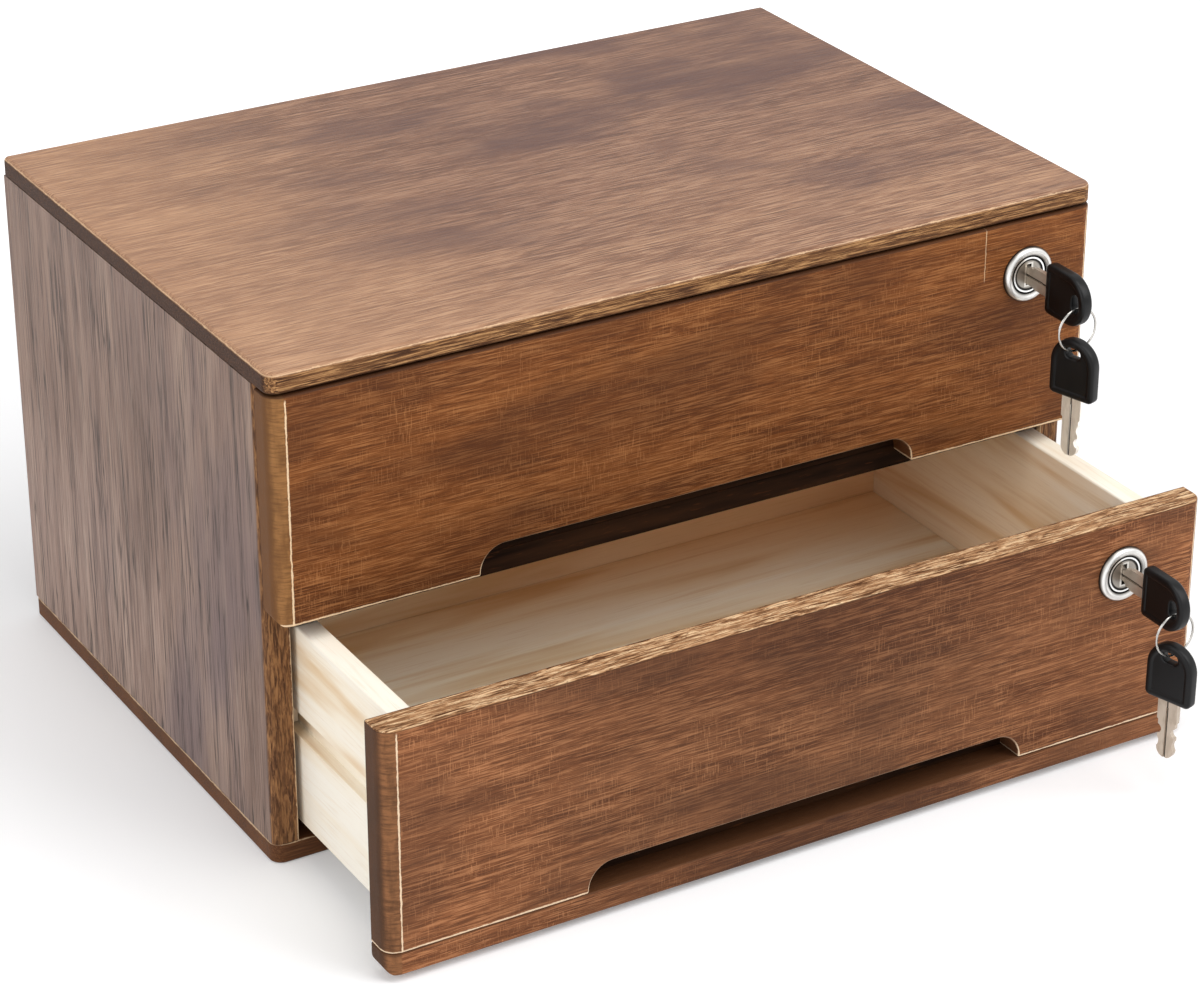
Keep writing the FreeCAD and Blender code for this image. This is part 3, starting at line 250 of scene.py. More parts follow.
# %% Lay the floor and set the light
FLOOR_HALF = 4.0
FLOOR_DROP = 0.1 * MM
FLOOR_TONE = linear(236, 236, 237)
FLOOR_ROUGHNESS = 0.6
FLOOR_SHEEN = 0.2
FLOOR_LIFT_NEAR = 0.19
FLOOR_LIFT_FAR = 0.6
SWEEP_START = 0.28
SWEEP_END = 0.75
AIR_STRENGTH = 0.6
CASE_MIDDLE = (0.0, -0.05, 0.1)
# Name, place in metres, side in metres and power in watts.
SOFTBOXES = (
    ("key_softbox", (0.9, -1.3, 1.5), 1.2, 17.0),
    ("overhead_softbox", (0.1, -0.55, 1.75), 0.9, 9.0),
    ("left_softbox", (-1.6, -0.5, 0.9), 1.2, 9.0),
)


def sees_backdrop(tree):
    """One where the eye, a mirror or a glass looks, and nought where the light is gathered."""
    path = tree.nodes.new("ShaderNodeLightPath").outputs
    mirror = calc("MAXIMUM", path["Is Glossy Ray"], path["Is Transmission Ray"])
    return calc("MAXIMUM", path["Is Camera Ray"], mirror)


def lay_floor():
    """A white floor that keeps the shadow."""
    mesh = bpy.data.meshes.new("floor")
    shape = bmesh.new()
    bmesh.ops.create_grid(shape, x_segments=1, y_segments=1, size=FLOOR_HALF)
    shape.to_mesh(mesh)
    shape.free()
    floor = add_object("floor", mesh)
    floor.location.z = -FLOOR_DROP
    material, here = new_finish("floor_white")
    coat(material, FLOOR_TONE, FLOOR_ROUGHNESS, sheen=FLOOR_SHEEN)
    x, y, _ = split(here)
    lift = between(distance(x, y), SWEEP_START, SWEEP_END, FLOOR_LIFT_NEAR, FLOOR_LIFT_FAR)
    plug(shader_of(material)["Emission Color"], WHITE)
    shown = times(sees_backdrop(material.node_tree), lift)
    plug(shader_of(material)["Emission Strength"], shown)
    mesh.materials.append(material)


def fill_air():
    """White for the eye, and paler air for the light that reaches the wood."""
    world = bpy.data.worlds.new("studio_air")
    world.use_nodes = True
    background = world.node_tree.nodes["Background"].inputs
    plug(background["Color"], WHITE)
    shown = times(sees_backdrop(world.node_tree), 1.0 - AIR_STRENGTH)
    plug(background["Strength"], calc("ADD", shown, AIR_STRENGTH))
    bpy.context.scene.world = world


def hang_softbox(name, place, size, watts):
    """A square lamp that looks from its place at the middle of the case."""
    lamp = bpy.data.lights.new(name, "AREA")
    lamp.shape = "SQUARE"
    lamp.size = size
    lamp.energy = watts
    softbox = add_object(name, lamp)
    softbox.location = place
    direction = Vector(CASE_MIDDLE) - Vector(place)
    softbox.rotation_euler = direction.to_track_quat("-Z", "Y").to_euler()


bpy.context.scene.view_settings.view_transform = "Standard"
lay_floor()
fill_air()
for softbox in SOFTBOXES:
    hang_softbox(*softbox)
print("floor, air and", len(SOFTBOXES), "soft boxes are set")

# %% [markdown]
# ## How the grain is laid
#
# Wood is made of long fibres, so every feature of it is far longer than it is wide. The grain
# could be painted for each board, but one rule does for all: squeeze the space along the fibre
# before asking for noise, and the noise comes out as streaks. Each board is cut from another
# part of the plank, which is a plain shift of that space.

# %% Stretch the space along the fibre
PLANK_STEP = (0.37, 0.61, 0.23)
AXES = {"X": 0, "Y": 1, "Z": 2}


def plank_place(where, plank):
    """The place of a board in its plank."""
    return combine("ADD", where, tuple(plank * step for step in PLANK_STEP))


def fibre_space(where, along, stretch):
    """Space squeezed along the fibre, so that noise in it turns into streaks."""
    squeeze = [1.0, 1.0, 1.0]
    for axis in along:
        squeeze[AXES[axis]] = 1.0 / stretch
    return combine("MULTIPLY", where, tuple(squeeze))


def streaks(place, along, width, length, detail=3.0, roughness=0.55, distortion=0.0):
    """Soft random streaks of this width and length in millimetres, from 0 to 1."""
    stretched = fibre_space(place, along, length / width)
    return noise(stretched, width, detail, roughness, distortion)


def hairlines(value, half_width):
    """Thin lines where soft streaks pass their middle."""
    off_middle = calc("ABSOLUTE", calc("SUBTRACT", value, 0.5))
    return between(off_middle, 0.0, half_width, 1.0, 0.0)


def dashes(place, along, spacing, length, low, high):
    """Separate thin dashes, as open pores make."""
    where = fibre_space(place, along, length / spacing)
    cells = {"Vector": where, "Scale": 1.0 / (spacing * MM)}
    return between(make_node("ShaderNodeTexVoronoi", cells)["Distance"], low, high, 1.0, 0.0)


print("fibres run along", ", ".join(AXES))

# %% [markdown]
# ## Where the wood is rubbed pale
#
# The boards were sanded over at their arrises after staining, so the bare wood shows there. On
# the real thing the sander touches what stands out. In the shader, the distance from a point to
# a line of the board does the same: near the line the pale wood shows, and a slow noise makes the
# line wander and break, as a hand does. Lines go where the boards have theirs, such as where a
# front's rounded end begins, along its lower edge and round its finger notch.

# %% Lay a rubbed line
LINE_WANDER = 0.4


def rubbed_line(offset, width, place, wear_length=14.0, wear=0.42):
    """One on a pale line whose middle is where the offset, in metres, is nought."""
    wander = noise(place, 3.0, 4.0, 0.7)
    shifted = calc("ADD", offset, times(calc("SUBTRACT", wander, 0.5), 2.0 * LINE_WANDER * MM))
    thickness = noise(place, wear_length, 6.0, 0.8)
    reach = times(between(thickness, wear - 0.1, wear + 0.2, 0.1, 1.0), width * MM)
    past_line = calc("SUBTRACT", calc("ABSOLUTE", shifted), reach)
    return between(past_line, -0.08 * MM, 0.2 * MM, 1.0, 0.0)


def apart(coordinate, value):
    """How far a coordinate lies past a value, in metres."""
    return calc("SUBTRACT", coordinate, value)


def past(coordinate, value, soft=0.4):
    """One where a coordinate is more than a value, and nought below it."""
    return between(coordinate, value - soft * MM, value + soft * MM)


def below(coordinate, value, soft=0.4):
    """One where a coordinate is less than a value, and nought above it."""
    return between(coordinate, value - soft * MM, value + soft * MM, 1.0, 0.0)


print("rubbed lines wander by up to", LINE_WANDER, "mm")

# %% [markdown]
# ## The brushed faces
#
# Scorching darkens the hard late wood and burns the soft early wood away, and the wire brush
# then leaves fine ridges. The finish is built in that order: the body colour in long bands, a
# finer figure, the fine strokes of the brush, light and dark, then the strokes that cross them,
# and last the clouds of smoke. The same ridges lift the surface, so that light and colour agree.
# One function makes this face, and each kind of board adds its edges to it.

# %% Make a brushed face
WOOD_SHEEN = 0.15
RIDGE_STRENGTH = 0.8


def brushed_face(place, along, tones, strokes):
    """The colour and the ridges of a scorched and brushed face."""
    bands = streaks(place, along, 15.0, 150.0, 4.0, 0.55, 0.7)
    figure = streaks(place, along, 2.6, 48.0, 3.0, 0.6, 0.3)
    body = ramp(bands, (0.32, tones["dark"]), (0.5, tones["middle"]), (0.7, tones["light"]))
    body = tint(between(figure, 0.5, 0.72, 0.0, strokes["figure"]), body, tones["dark"])

    press = between(noise(place, 32.0, 2.0, 0.5), 0.36, 0.62, 0.65, 1.0)
    brush = streaks(place, along, strokes["width"], strokes["length"], 3.0, 0.6, 0.25)
    light = times(between(brush, 0.53, 0.58, 0.0, strokes["light"]), press)
    dark = times(between(brush, 0.41, 0.46, strokes["dark"], 0.0), press)
    body = tint(light, body, tones["bright"])
    body = tint(dark, body, tones["deep"])
    fine = streaks(place, along, strokes["width"] * 0.5, strokes["length"] * 0.5, 2.0, 0.6)
    body = tint(between(fine, 0.55, 0.64, 0.0, strokes["light"] * 0.8), body, tones["bright"])
    body = tint(between(fine, 0.36, 0.44, strokes["dark"] * 0.6, 0.0), body, tones["deep"])
    ridges = calc("ADD", times(brush, 0.7), times(fine, 0.5))
    return body, ridges


def cross_strokes(place, body, ridges, across, tones, share):
    """Strokes across the fibre, in patches, which look woven with those along it."""
    patches = noise(place, 26.0, 3.0, 0.6)
    strokes = streaks(place, across, 0.42, 5.0, 2.0, 0.6)
    lines = times(between(strokes, 0.58, 0.64), between(patches, 0.4, 0.62, 0.1, 1.0))
    body = tint(times(lines, share), body, tones["bright"])
    return body, calc("ADD", ridges, times(lines, 0.25))


def smoke(place, along, body, tones, share, size=50.0, where=1.0):
    """Clouds that the flame left, soft, darker and drawn out along the fibre."""
    clouds = streaks(place, along, size, 2.4 * size, 3.0, 0.55, 0.3)
    return tint(times(between(clouds, 0.42, 0.66, 0.0, share), where), body, tones["smoke"])


def finish_wood(material, body, ridges, gloss, depth, piece):
    """Joins colour, sheen and ridges, and gives the finish to its board."""
    roughness = between(ridges, 0.45, 0.8, gloss, gloss + 0.16)
    raise_surface(material, ridges, depth, RIDGE_STRENGTH)
    coat(material, body, roughness, piece, sheen=WOOD_SHEEN)


print("a brushed face has bands, figure, strokes, ridges and smoke")

# %% [markdown]
# ## Rough end and edge wood
#
# The narrow faces that the brush tore across show pale splinters with dark gaps between them,
# such as on top of the drawer fronts and along the front edge of the top board. It is the same
# wood, so it takes the same fibre direction, but with strong light and dark, so it gets a
# recipe of its own.

# %% Make a torn edge
def torn_edge(place, along, tones, width=1.1, length=9.0, dark_share=0.5):
    """Pale splinters with dark gaps."""
    chips = streaks(place, along, width, length, 4.0, 0.65, 0.6)
    slow = streaks(place, along, 3.0, 40.0, 3.0, 0.6)
    body = ramp(chips, (0.4, tones["gap"]), (0.5, tones["edge"]), (0.6, tones["splinter"]))
    gaps = hairlines(streaks(place, along, width * 1.6, length * 1.5, 3.0, 0.6, 0.8), 0.035)
    body = tint(times(gaps, dark_share), body, tones["gap"])
    body = tint(between(slow, 0.45, 0.7, 0.0, 0.45), body, tones["edge"])
    return body, chips


print("a torn edge has splinters and gaps")

# %% [markdown]
# ## The top board
#
# The top is the largest face. Painted light makes it lighter towards its left and front and
# darker towards the middle and back, and smoke clouds lie in the middle. Its four edges are
# darker, with gold splinters along the front and a rubbed arris above them, and painted shade
# darkens their lowest millimetre, at the gap below the board. The height of a point tells the
# top from its edges.

# %% Dress the top board
TOP_TONES = palette(
    dark=(136, 98, 76), middle=(158, 117, 90), light=(180, 138, 106),
    bright=(214, 174, 140), deep=(88, 60, 46), smoke=(92, 66, 62),
    gap=(66, 40, 24), edge=(122, 82, 50), splinter=(196, 148, 98),
    worn=(226, 190, 150),
)
TOP_STROKES = {"width": 0.85, "length": 20.0, "light": 0.48, "dark": 0.52, "figure": 0.45}


def dress_top():
    """Brushed top with painted light and shade across it, gold front edge, dark side edges."""
    material, here = new_finish("brushed_top")
    place = plank_place(here, 1)
    x, y, z = split(here)
    low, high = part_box("top_board")
    body, ridges = brushed_face(place, "X", TOP_TONES, TOP_STROKES)
    # Painted light and shade: darker away from the left end and towards the back, lighter at the
    # left.
    middle = times(between(x, -0.17, -0.04), between(y, -0.12, -0.02, 0.35, 1.0))
    body = tint(middle, body, (0.7, 0.68, 0.74, 1.0), "MULTIPLY")
    body = tint(between(x, -0.15, -0.02, 0.3, 0.0), body, TOP_TONES["light"])
    body = smoke(place, "X", body, TOP_TONES, 0.75, 42.0, middle)

    front_edge, chips = torn_edge(place, "X", TOP_TONES, 0.6, 16.0)
    side_edge = tint(0.6, front_edge, TOP_TONES["gap"])
    side_edge = tint(1.0, side_edge, (0.42, 0.34, 0.31, 1.0), "MULTIPLY")
    at_front = below(y, low[1] + 3.0 * MM, 1.0)
    edge = tint(at_front, side_edge, front_edge)
    at_edge = below(z, high[2] - 1.3 * MM, 0.5)
    body = tint(at_edge, body, edge)
    # Painted shade along the lowest millimetre of the edges, at the gap below the board.
    painted_gap_shade = below(z, low[2] + 0.9 * MM, 0.4)
    body = tint(times(painted_gap_shade, 0.8), body, TOP_TONES["gap"])
    arris = rubbed_line(apart(z, high[2] - 1.0 * MM), 0.45, place, 9.0, 0.55)
    near_edge = between(calc("MINIMUM", apart(y, low[1]), apart(x, low[0])), 0.0, 0.004, 1.0, 0.0)
    body = tint(times(arris, near_edge, 0.75), body, TOP_TONES["worn"])
    ridges = calc("ADD", ridges, times(chips, at_edge, 0.8))
    finish_wood(material, body, ridges, 0.4, 0.3, "top_board")


dress_top()

# %% [markdown]
# ## The side panels and the back
#
# The sides stand with their fibre upright. They are paler and greyer than the fronts, with fine
# dark pores that run as broken lines from top to bottom and a violet smoke towards the lower
# front. Painted light from the white floor makes their foot paler and bluer towards the back.
# Their front edges are brown, and show above and below the open drawer.

# %% Dress the side panels
SIDE_TONES = palette(
    dark=(116, 92, 80), middle=(140, 114, 101), light=(162, 136, 120),
    bright=(186, 162, 146), deep=(88, 67, 58), smoke=(112, 95, 96),
    pore=(34, 22, 18), gap=(76, 48, 30), edge=(118, 80, 50),
    splinter=(156, 112, 72), worn=(222, 190, 152),
)
SIDE_STROKES = {"width": 0.5, "length": 55.0, "light": 0.4, "dark": 0.42, "figure": 0.3}
# Painted light from the white floor, laid over the foot of a side.
SIDE_FOOT_FLOOR_LIGHT = (1.3, 1.36, 1.42, 1.0)
# From where to where, in metres, the smoke and the painted floor light on the foot fade.
SMOKE_IN_DEPTH = (-0.11, 0.06)
SMOKE_IN_HEIGHT = (0.02, 0.19)
FOOT_IN_DEPTH = (-0.07, 0.03)
FOOT_IN_HEIGHT = (0.05, 0.13)


def dress_side(hand, plank):
    """Upright veneer with pores, and a brown front edge."""
    material, here = new_finish(f"brushed_{hand}_side")
    place = plank_place(here, plank)
    x, y, z = split(here)
    low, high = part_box(f"{hand}_side_panel")
    body, ridges = brushed_face(place, "Z", SIDE_TONES, SIDE_STROKES)
    front = between(y, *SMOKE_IN_DEPTH, 1.0, 0.1)
    low_front = times(front, between(z, *SMOKE_IN_HEIGHT, 1.0, 0.35))
    body = smoke(place, "Z", body, SIDE_TONES, 0.9, 45.0, low_front)
    # Painted light from the floor: paler and bluer at the foot, more towards the back.
    foot = times(between(z, *FOOT_IN_HEIGHT, 1.0, 0.0), between(y, *FOOT_IN_DEPTH, 0.3, 1.0))
    body = tint(foot, body, SIDE_FOOT_FLOOR_LIGHT, "MULTIPLY")
    short = dashes(place, "Z", 0.85, 26.0, 0.1, 0.26)
    long = hairlines(streaks(place, "Z", 5.0, 170.0, 3.0, 0.55), 0.02)
    fine = hairlines(streaks(place, "Z", 2.0, 150.0, 2.0, 0.5), 0.035)
    pores = calc("MAXIMUM", times(short, 0.45), calc("MAXIMUM", long, fine))
    shown = between(streaks(place, "Z", 7.0, 50.0), 0.4, 0.58, 0.2, 1.0)
    body = tint(times(pores, shown, 0.85), body, SIDE_TONES["pore"])
    ridges = calc("SUBTRACT", ridges, times(pores, 0.5))

    edge, chips = torn_edge(place, "Z", SIDE_TONES, 1.0, 7.0, 0.25)
    at_edge = below(y, low[1] + 2.4 * MM, 0.6)
    body = tint(at_edge, body, edge)
    inner = high[0] if hand == "left" else low[0]
    line = rubbed_line(apart(x, inner), 0.5, place, 12.0)
    body = tint(times(line, at_edge, 0.8), body, SIDE_TONES["worn"])
    finish_wood(material, body, ridges, 0.45, 0.24, f"{hand}_side_panel")


def dress_back():
    """The back panel, with its fibre level."""
    material, here = new_finish("brushed_back")
    place = plank_place(here, 5)
    body, ridges = brushed_face(place, "X", SIDE_TONES, SIDE_STROKES)
    body = smoke(place, "X", body, SIDE_TONES, 0.6)
    finish_wood(material, body, ridges, 0.5, 0.2, "back_panel")


HANDS = ("left", "right")
for plank, hand in enumerate(HANDS, start=3):
    dress_side(hand, plank)
dress_back()
print("both sides and the back are dressed")

# %% [markdown]
# ## The drawer fronts and the strip below
#
# Each front is a brushed board, paler towards its ends. The rounded ends themselves are
# smoke-dark, with a painted golden highlight on the swell of the round, and a thin pale line
# runs where the rounding starts. Pale lines also follow the lower edge and the ends of the finger
# notch, and the upper front has a fine scratch by its lock. The top of the lower front is torn,
# pale wood. Painted shade darkens the inside of the notch, the back of each board, a top that
# lies under another board and the upper middle of the lower front. The notch's outline is a box
# with round upper corners, so the distance to it is a short sum, which draws the pale rim.

# %% Dress the fronts
FRONT_TONES = {
    "upper": palette(
        dark=(97, 54, 25), middle=(121, 69, 32), light=(138, 83, 41),
        bright=(180, 122, 74), deep=(66, 33, 13), smoke=(74, 41, 22),
        end=(106, 71, 40), bulge=(164, 117, 70), gap=(60, 34, 18),
        edge=(140, 96, 58), splinter=(194, 150, 102), worn=(246, 214, 174),
    ),
    "lower": palette(
        dark=(92, 53, 30), middle=(116, 72, 44), light=(136, 88, 57),
        bright=(184, 130, 90), deep=(60, 34, 19), smoke=(74, 47, 32),
        end=(64, 43, 28), bulge=(150, 102, 66), gap=(84, 52, 30),
        edge=(178, 132, 92), splinter=(232, 198, 156), worn=(246, 218, 184),
    ),
}
FRONT_STROKES = {"width": 0.55, "length": 17.0, "light": 0.42, "dark": 0.48, "figure": 0.5}
END_ROUND = 6.0
RIGHT_LINE_SHIFT = 3.2
ENDS_PALER = {"upper": (1.08, 1.08, 1.08, 1.0), "lower": (1.42, 1.38, 1.34, 1.0)}
PALER_FROM = 0.12
PALER_FULL = 0.01
MIDDLE_SHADE = (0.7, 0.66, 0.64, 1.0)
SHADE_HALF = (0.02, 0.13)
SHADE_RISE = 0.04
SCRATCH_X = 0.1245
SCRATCH_LENGTH = 0.021
NOTCH_HALF = 94.0
NOTCH_HEIGHT = 11.2
NOTCH_ROUND = 10.2
TOP_DEPTH = 0.5
LINE_BELOW_TOP = 0.2


def notch_distance(x, height):
    """How far a point on a front is outside its notch, in metres."""
    past_side = apart(calc("ABSOLUTE", x), (NOTCH_HALF - NOTCH_ROUND) * MM)
    past_roof = apart(height, (NOTCH_HEIGHT - NOTCH_ROUND) * MM)
    outside = distance(calc("MAXIMUM", past_side, 0.0), calc("MAXIMUM", past_roof, 0.0))
    return apart(outside, NOTCH_ROUND * MM)


def round_ends(body, place, tones, reach, reach_line, end):
    """Smoky rounded ends with a painted golden highlight where they swell."""
    at_end = past(reach_line, end - END_ROUND * MM + 0.3 * MM, 0.5)
    # Painted highlight: golden on the swell of the round, broken by fine marks and patches.
    bulge = between(reach, end - 1.6 * MM, end - 0.1 * MM, 1.0, 0.0)
    marks = between(streaks(place, "XY", 0.9, 8.0, 4.0, 0.65), 0.34, 0.6, 0.35, 1.0)
    patches = between(streaks(place, "Z", 4.0, 16.0, 3.0, 0.5), 0.34, 0.58, 0.45, 1.0)
    end_body = tint(times(bulge, times(marks, patches)), tones["end"], tones["bulge"])
    return tint(times(at_end, 0.85), body, end_body)


def edge_notch(body, place, tones, spot, low):
    """Pale lines along the lower edge and the notch's ends, and painted shade inside the notch."""
    x, y, z = spot
    low_line = rubbed_line(apart(z, low[2] + 0.7 * MM), 0.38, place, 20.0, 0.38)
    body = tint(times(low_line, 0.92), body, tones["worn"])
    rise = apart(z, low[2])
    rim = notch_distance(x, rise)
    rim_line = rubbed_line(apart(rim, 0.3 * MM), 0.32, place, 12.0, 0.45)
    at_notch_end = between(rise, 3.5 * MM, 9.5 * MM, 1.0, 0.2)
    on_face = below(y, low[1] + 1.0 * MM, 0.5)
    body = tint(times(rim_line, at_notch_end, on_face), body, tones["worn"])
    # Painted shade inside the notch.
    inside = below(rim, 0.05 * MM, 0.3)
    return tint(times(inside, 0.85), body, tones["deep"])


def tear_top(body, ridges, place, tones, z, top_z):
    """A top torn to pale splinters, with a dark line just below it."""
    top, chips = torn_edge(place, "X", tones, 1.0, 10.0, 0.8)
    at_top = past(z, top_z, 0.25)
    body = tint(at_top, body, top)
    off_line = calc("ADD", times(apart(z, top_z - LINE_BELOW_TOP * MM), 900.0), 0.5)
    body = tint(times(hairlines(off_line, 0.35), 0.6), body, tones["deep"])
    return body, calc("ADD", ridges, times(chips, at_top, 0.9))


def dress_front(name, piece, level, plank, torn_top=False, bare_edges=False):
    """A brushed front with smoky round ends, pale lines and painted shade, and a torn top or a top
    darkened by painted shade.
    """
    tones = FRONT_TONES[level]
    material, here = new_finish(name)
    place = plank_place(here, plank)
    x, y, z = spot = split(here)
    low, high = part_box(piece)
    body, ridges = brushed_face(place, "X", tones, FRONT_STROKES)
    body, ridges = cross_strokes(place, body, ridges, "Z", tones, 0.4)
    body = smoke(place, "X", body, tones, 0.5, 30.0)

    reach = calc("ABSOLUTE", x)
    outer = between(reach, high[0] - PALER_FROM, high[0] - PALER_FULL)
    body = tint(outer, body, ENDS_PALER[level], "MULTIPLY")
    if level == "lower":
        # Painted shade over the upper middle of the lower front.
        upper_half = between(z, low[2] + SHADE_RISE, high[2])
        upper_middle = times(between(reach, *SHADE_HALF, 1.0, 0.0), upper_half)
        body = tint(upper_middle, body, MIDDLE_SHADE, "MULTIPLY")
    on_right = past(x, 0.0, 1.0)
    reach_line = apart(reach, times(on_right, RIGHT_LINE_SHIFT * MM))
    body = round_ends(body, place, tones, reach, reach_line, high[0])

    if not bare_edges:
        off_line = apart(reach_line, high[0] - END_ROUND * MM)
        end_line = rubbed_line(off_line, 0.3, place, 16.0, 0.36)
        short_of_top = below(z, high[2] - 1.6 * MM, 0.8)
        body = tint(times(end_line, short_of_top, 0.95), body, tones["worn"])
    if level == "upper":
        scratch = rubbed_line(apart(x, SCRATCH_X), 0.12, place, 10.0, 0.4)
        scratched = times(scratch, past(z, high[2] - SCRATCH_LENGTH, 1.0))
        body = tint(times(scratched, 0.6), body, tones["worn"])
    if not bare_edges:
        body = edge_notch(body, place, tones, spot, low)
    top_z = high[2] - TOP_DEPTH * MM
    if torn_top:
        body, ridges = tear_top(body, ridges, place, tones, z, top_z)
    else:
        # Painted shade on a top that lies in a narrow gap under another board.
        body = tint(times(past(z, top_z, 0.3), 0.85), body, tones["gap"])
    # Painted shade along the back, where the front meets the drawer box.
    painted_shade_behind = past(y, high[1] - 0.3 * MM, 0.2)
    body = tint(times(painted_shade_behind, 0.7), body, tones["deep"])
    finish_wood(material, body, ridges, 0.56, 0.22, piece)


LEVELS = ("upper", "lower")
dress_front("brushed_upper_front", "upper_drawer_front", "upper", 6)
dress_front("brushed_lower_front", "lower_drawer_front", "lower", 7, torn_top=True)
dress_front("brushed_base_strip", "lower_front_base_strip", "lower", 8, bare_edges=True)
print("fronts and strip are dressed")

# %% [markdown]
# ## The base board
#
# The base shows only as a thin dark band and, below the open drawer, as a shelf in shade, and
# painted shade darkens its top face. Its upper front arris is rubbed.

# %% Dress the base board
BASE_BROWN = linear(74, 50, 34)


def dress_base():
    """A dark board with painted shade on its top and a rubbed upper arris."""
    tones = FRONT_TONES["upper"]
    material, here = new_finish("brushed_base")
    place = plank_place(here, 2)
    x, y, z = split(here)
    low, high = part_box("base_board")
    body, ridges = brushed_face(place, "X", tones, FRONT_STROKES)
    body = tint(0.6, body, BASE_BROWN)
    # Painted shade on the top face, under the open drawer.
    painted_shade_on_top = past(z, high[2] - 0.5 * MM, 0.3)
    body = tint(times(painted_shade_on_top, 0.55), body, tones["deep"])
    arris = rubbed_line(apart(z, high[2] - 0.6 * MM), 0.4, place, 10.0, 0.5)
    body = tint(times(arris, 0.6), body, tones["worn"])
    finish_wood(material, body, ridges, 0.5, 0.22, "base_board")


dress_base()
print("base board is dressed")

# %% [markdown]
# ## Stained and bare wood inside
#
# The rail and the backs of the finger notches are stained dark, and the drawer boxes are bare
# pale wood, sanded and left unfinished. Bare wood could be one flat cream, and would then look
# like plastic. It needs wide soft bands, a fine fibre, and a warmer tone where the early wood
# is thick. Deep in a drawer, where light only comes off other wood, the inside faces get painted
# shade in a warm orange, as that bounced light gives, towards the back and the right.

# %% Make the bare and the stained wood
BARE_TONES = palette(
    light=(253, 246, 232), middle=(249, 237, 216), warm=(230, 202, 164),
    fibre=(208, 174, 132),
)
# Painted shade deep in the drawers, warmed orange as by light bounced off the wood, and where it
# fades.
INSIDE_PAINTED_SHADE = (0.92, 0.62, 0.38, 1.0)
INSIDE_SHADE_FADE = 0.08
INSIDE_SHADE_LEFT = 0.05
INSIDE_SHADE_RIGHT = 0.08
STAINED_DARK = linear(28, 14, 7)
STAINED_LIGHT = linear(64, 38, 20)
WALL_IN = 9.0 * MM


def bare_wood(name, along, plank, *pieces, inside=None, start=0.0, least=0.0):
    """Pale sanded wood. Inside is the box of a drawer, whose inside faces get painted shade from a
    start.
    """
    material, here = new_finish(name)
    place = plank_place(here, plank)
    bands = streaks(place, along, 16.0, 190.0, 3.0, 0.5, 0.5)
    veins = streaks(place, along, 5.0, 120.0, 3.0, 0.55, 0.3)
    fibres = streaks(place, along, 0.8, 24.0, 3.0, 0.6)
    stops = ((0.36, "warm"), (0.47, "middle"), (0.6, "light"))
    body = ramp(bands, *[(stop, BARE_TONES[tone]) for stop, tone in stops])
    body = tint(between(veins, 0.56, 0.72, 0.0, 0.5), body, BARE_TONES["warm"])
    body = tint(between(fibres, 0.52, 0.72, 0.0, 0.22), body, BARE_TONES["fibre"])
    if inside:
        low, high = inside
        x, y, z = split(here)
        deep_y = between(y, low[1] + start, low[1] + start + INSIDE_SHADE_FADE, least, 1.0)
        deep_x = between(x, low[0] + INSIDE_SHADE_LEFT, high[0] - INSIDE_SHADE_RIGHT, 0.4, 1.0)
        in_x = below(calc("ABSOLUTE", x), high[0] - WALL_IN, 0.3)
        in_z = below(z, high[2] - 0.6 * MM, 0.3)
        # Painted shade with warm bounced light on the inside faces, towards the back and the right.
        painted_inside_shade = times(deep_y, deep_x, times(in_x, in_z))
        body = tint(painted_inside_shade, body, INSIDE_PAINTED_SHADE, "MULTIPLY")
    raise_surface(material, fibres, 0.08, 0.5)
    coat(material, body, between(fibres, 0.3, 0.7, 0.55, 0.7), *pieces)


def stained_wood(name, plank, *pieces):
    """Dark stain over wood, with a few light scratches."""
    material, here = new_finish(name)
    place = plank_place(here, plank)
    bands = streaks(place, "X", 5.0, 70.0, 4.0, 0.6)
    scratches = streaks(place, "X", 1.0, 9.0, 2.0, 0.5)
    body = ramp(bands, (0.35, STAINED_DARK), (0.7, STAINED_LIGHT))
    scratched = between(scratches, 0.62, 0.72, 0.0, 0.5)
    body = tint(scratched, body, FRONT_TONES["upper"]["dark"])
    raise_surface(material, bands, 0.15, 0.6)
    roughness = between(bands, 0.3, 0.7, 0.5, 0.7)
    coat(material, body, roughness, *pieces, sheen=0.12)


SIDES_FROM_START = {"least": 0.55}
REST_FROM_BACK = {"start": 0.11, "least": 0.05}
for number, level in enumerate(LEVELS):
    drawer = f"{level}_drawer"
    sides = (f"{drawer}_left_side", f"{drawer}_right_side")
    rest = (f"{drawer}_back", f"{drawer}_bottom")
    inside = (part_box(sides[0])[0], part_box(sides[1])[1])
    bare_wood(f"{drawer}_sides_bare", "Y", 11 + number, *sides, inside=inside, **SIDES_FROM_START)
    bare_wood(f"{drawer}_across_bare", "X", 13 + number, *rest, inside=inside, **REST_FROM_BACK)
    stained_wood(f"{drawer}_inner_front_stain", 15 + number, f"{drawer}_inner_front")
runners = [f"{level}_{hand}_runner" for level in LEVELS for hand in HANDS]
bare_wood("runners_bare", "Y", 17, *runners)
bare_wood("dowels_bare", "Z", 18, "top_dowels", "rail_dowels")
stained_wood("rail_stain", 19, "front_rail")
print("the drawer boxes are bare and the rail is stained")

# %% [markdown]
# ## Metal and plastic
#
# The locks are satin chrome, the keys are nickel silver in black moulded heads, and the rings are
# bright wire. Metal shows its surroundings more than its colour, so the recipe is a light grey
# with a soft change of roughness. The plastic is near black, with the faint orange-peel of
# a mould.

# %% Make the metals and the plastic
STAIN_SHARE = 0.9
PLASTIC_SHEEN = 0.26
PLASTIC_BLACK = linear(7, 7, 8)
PLASTIC_SMEARED = linear(12, 12, 13)
# How large the peel's hills and the smears are, in millimetres.
PEEL_SIZE = 1.0 / 0.9
SMEAR_SIZE = 1.0 / 0.06


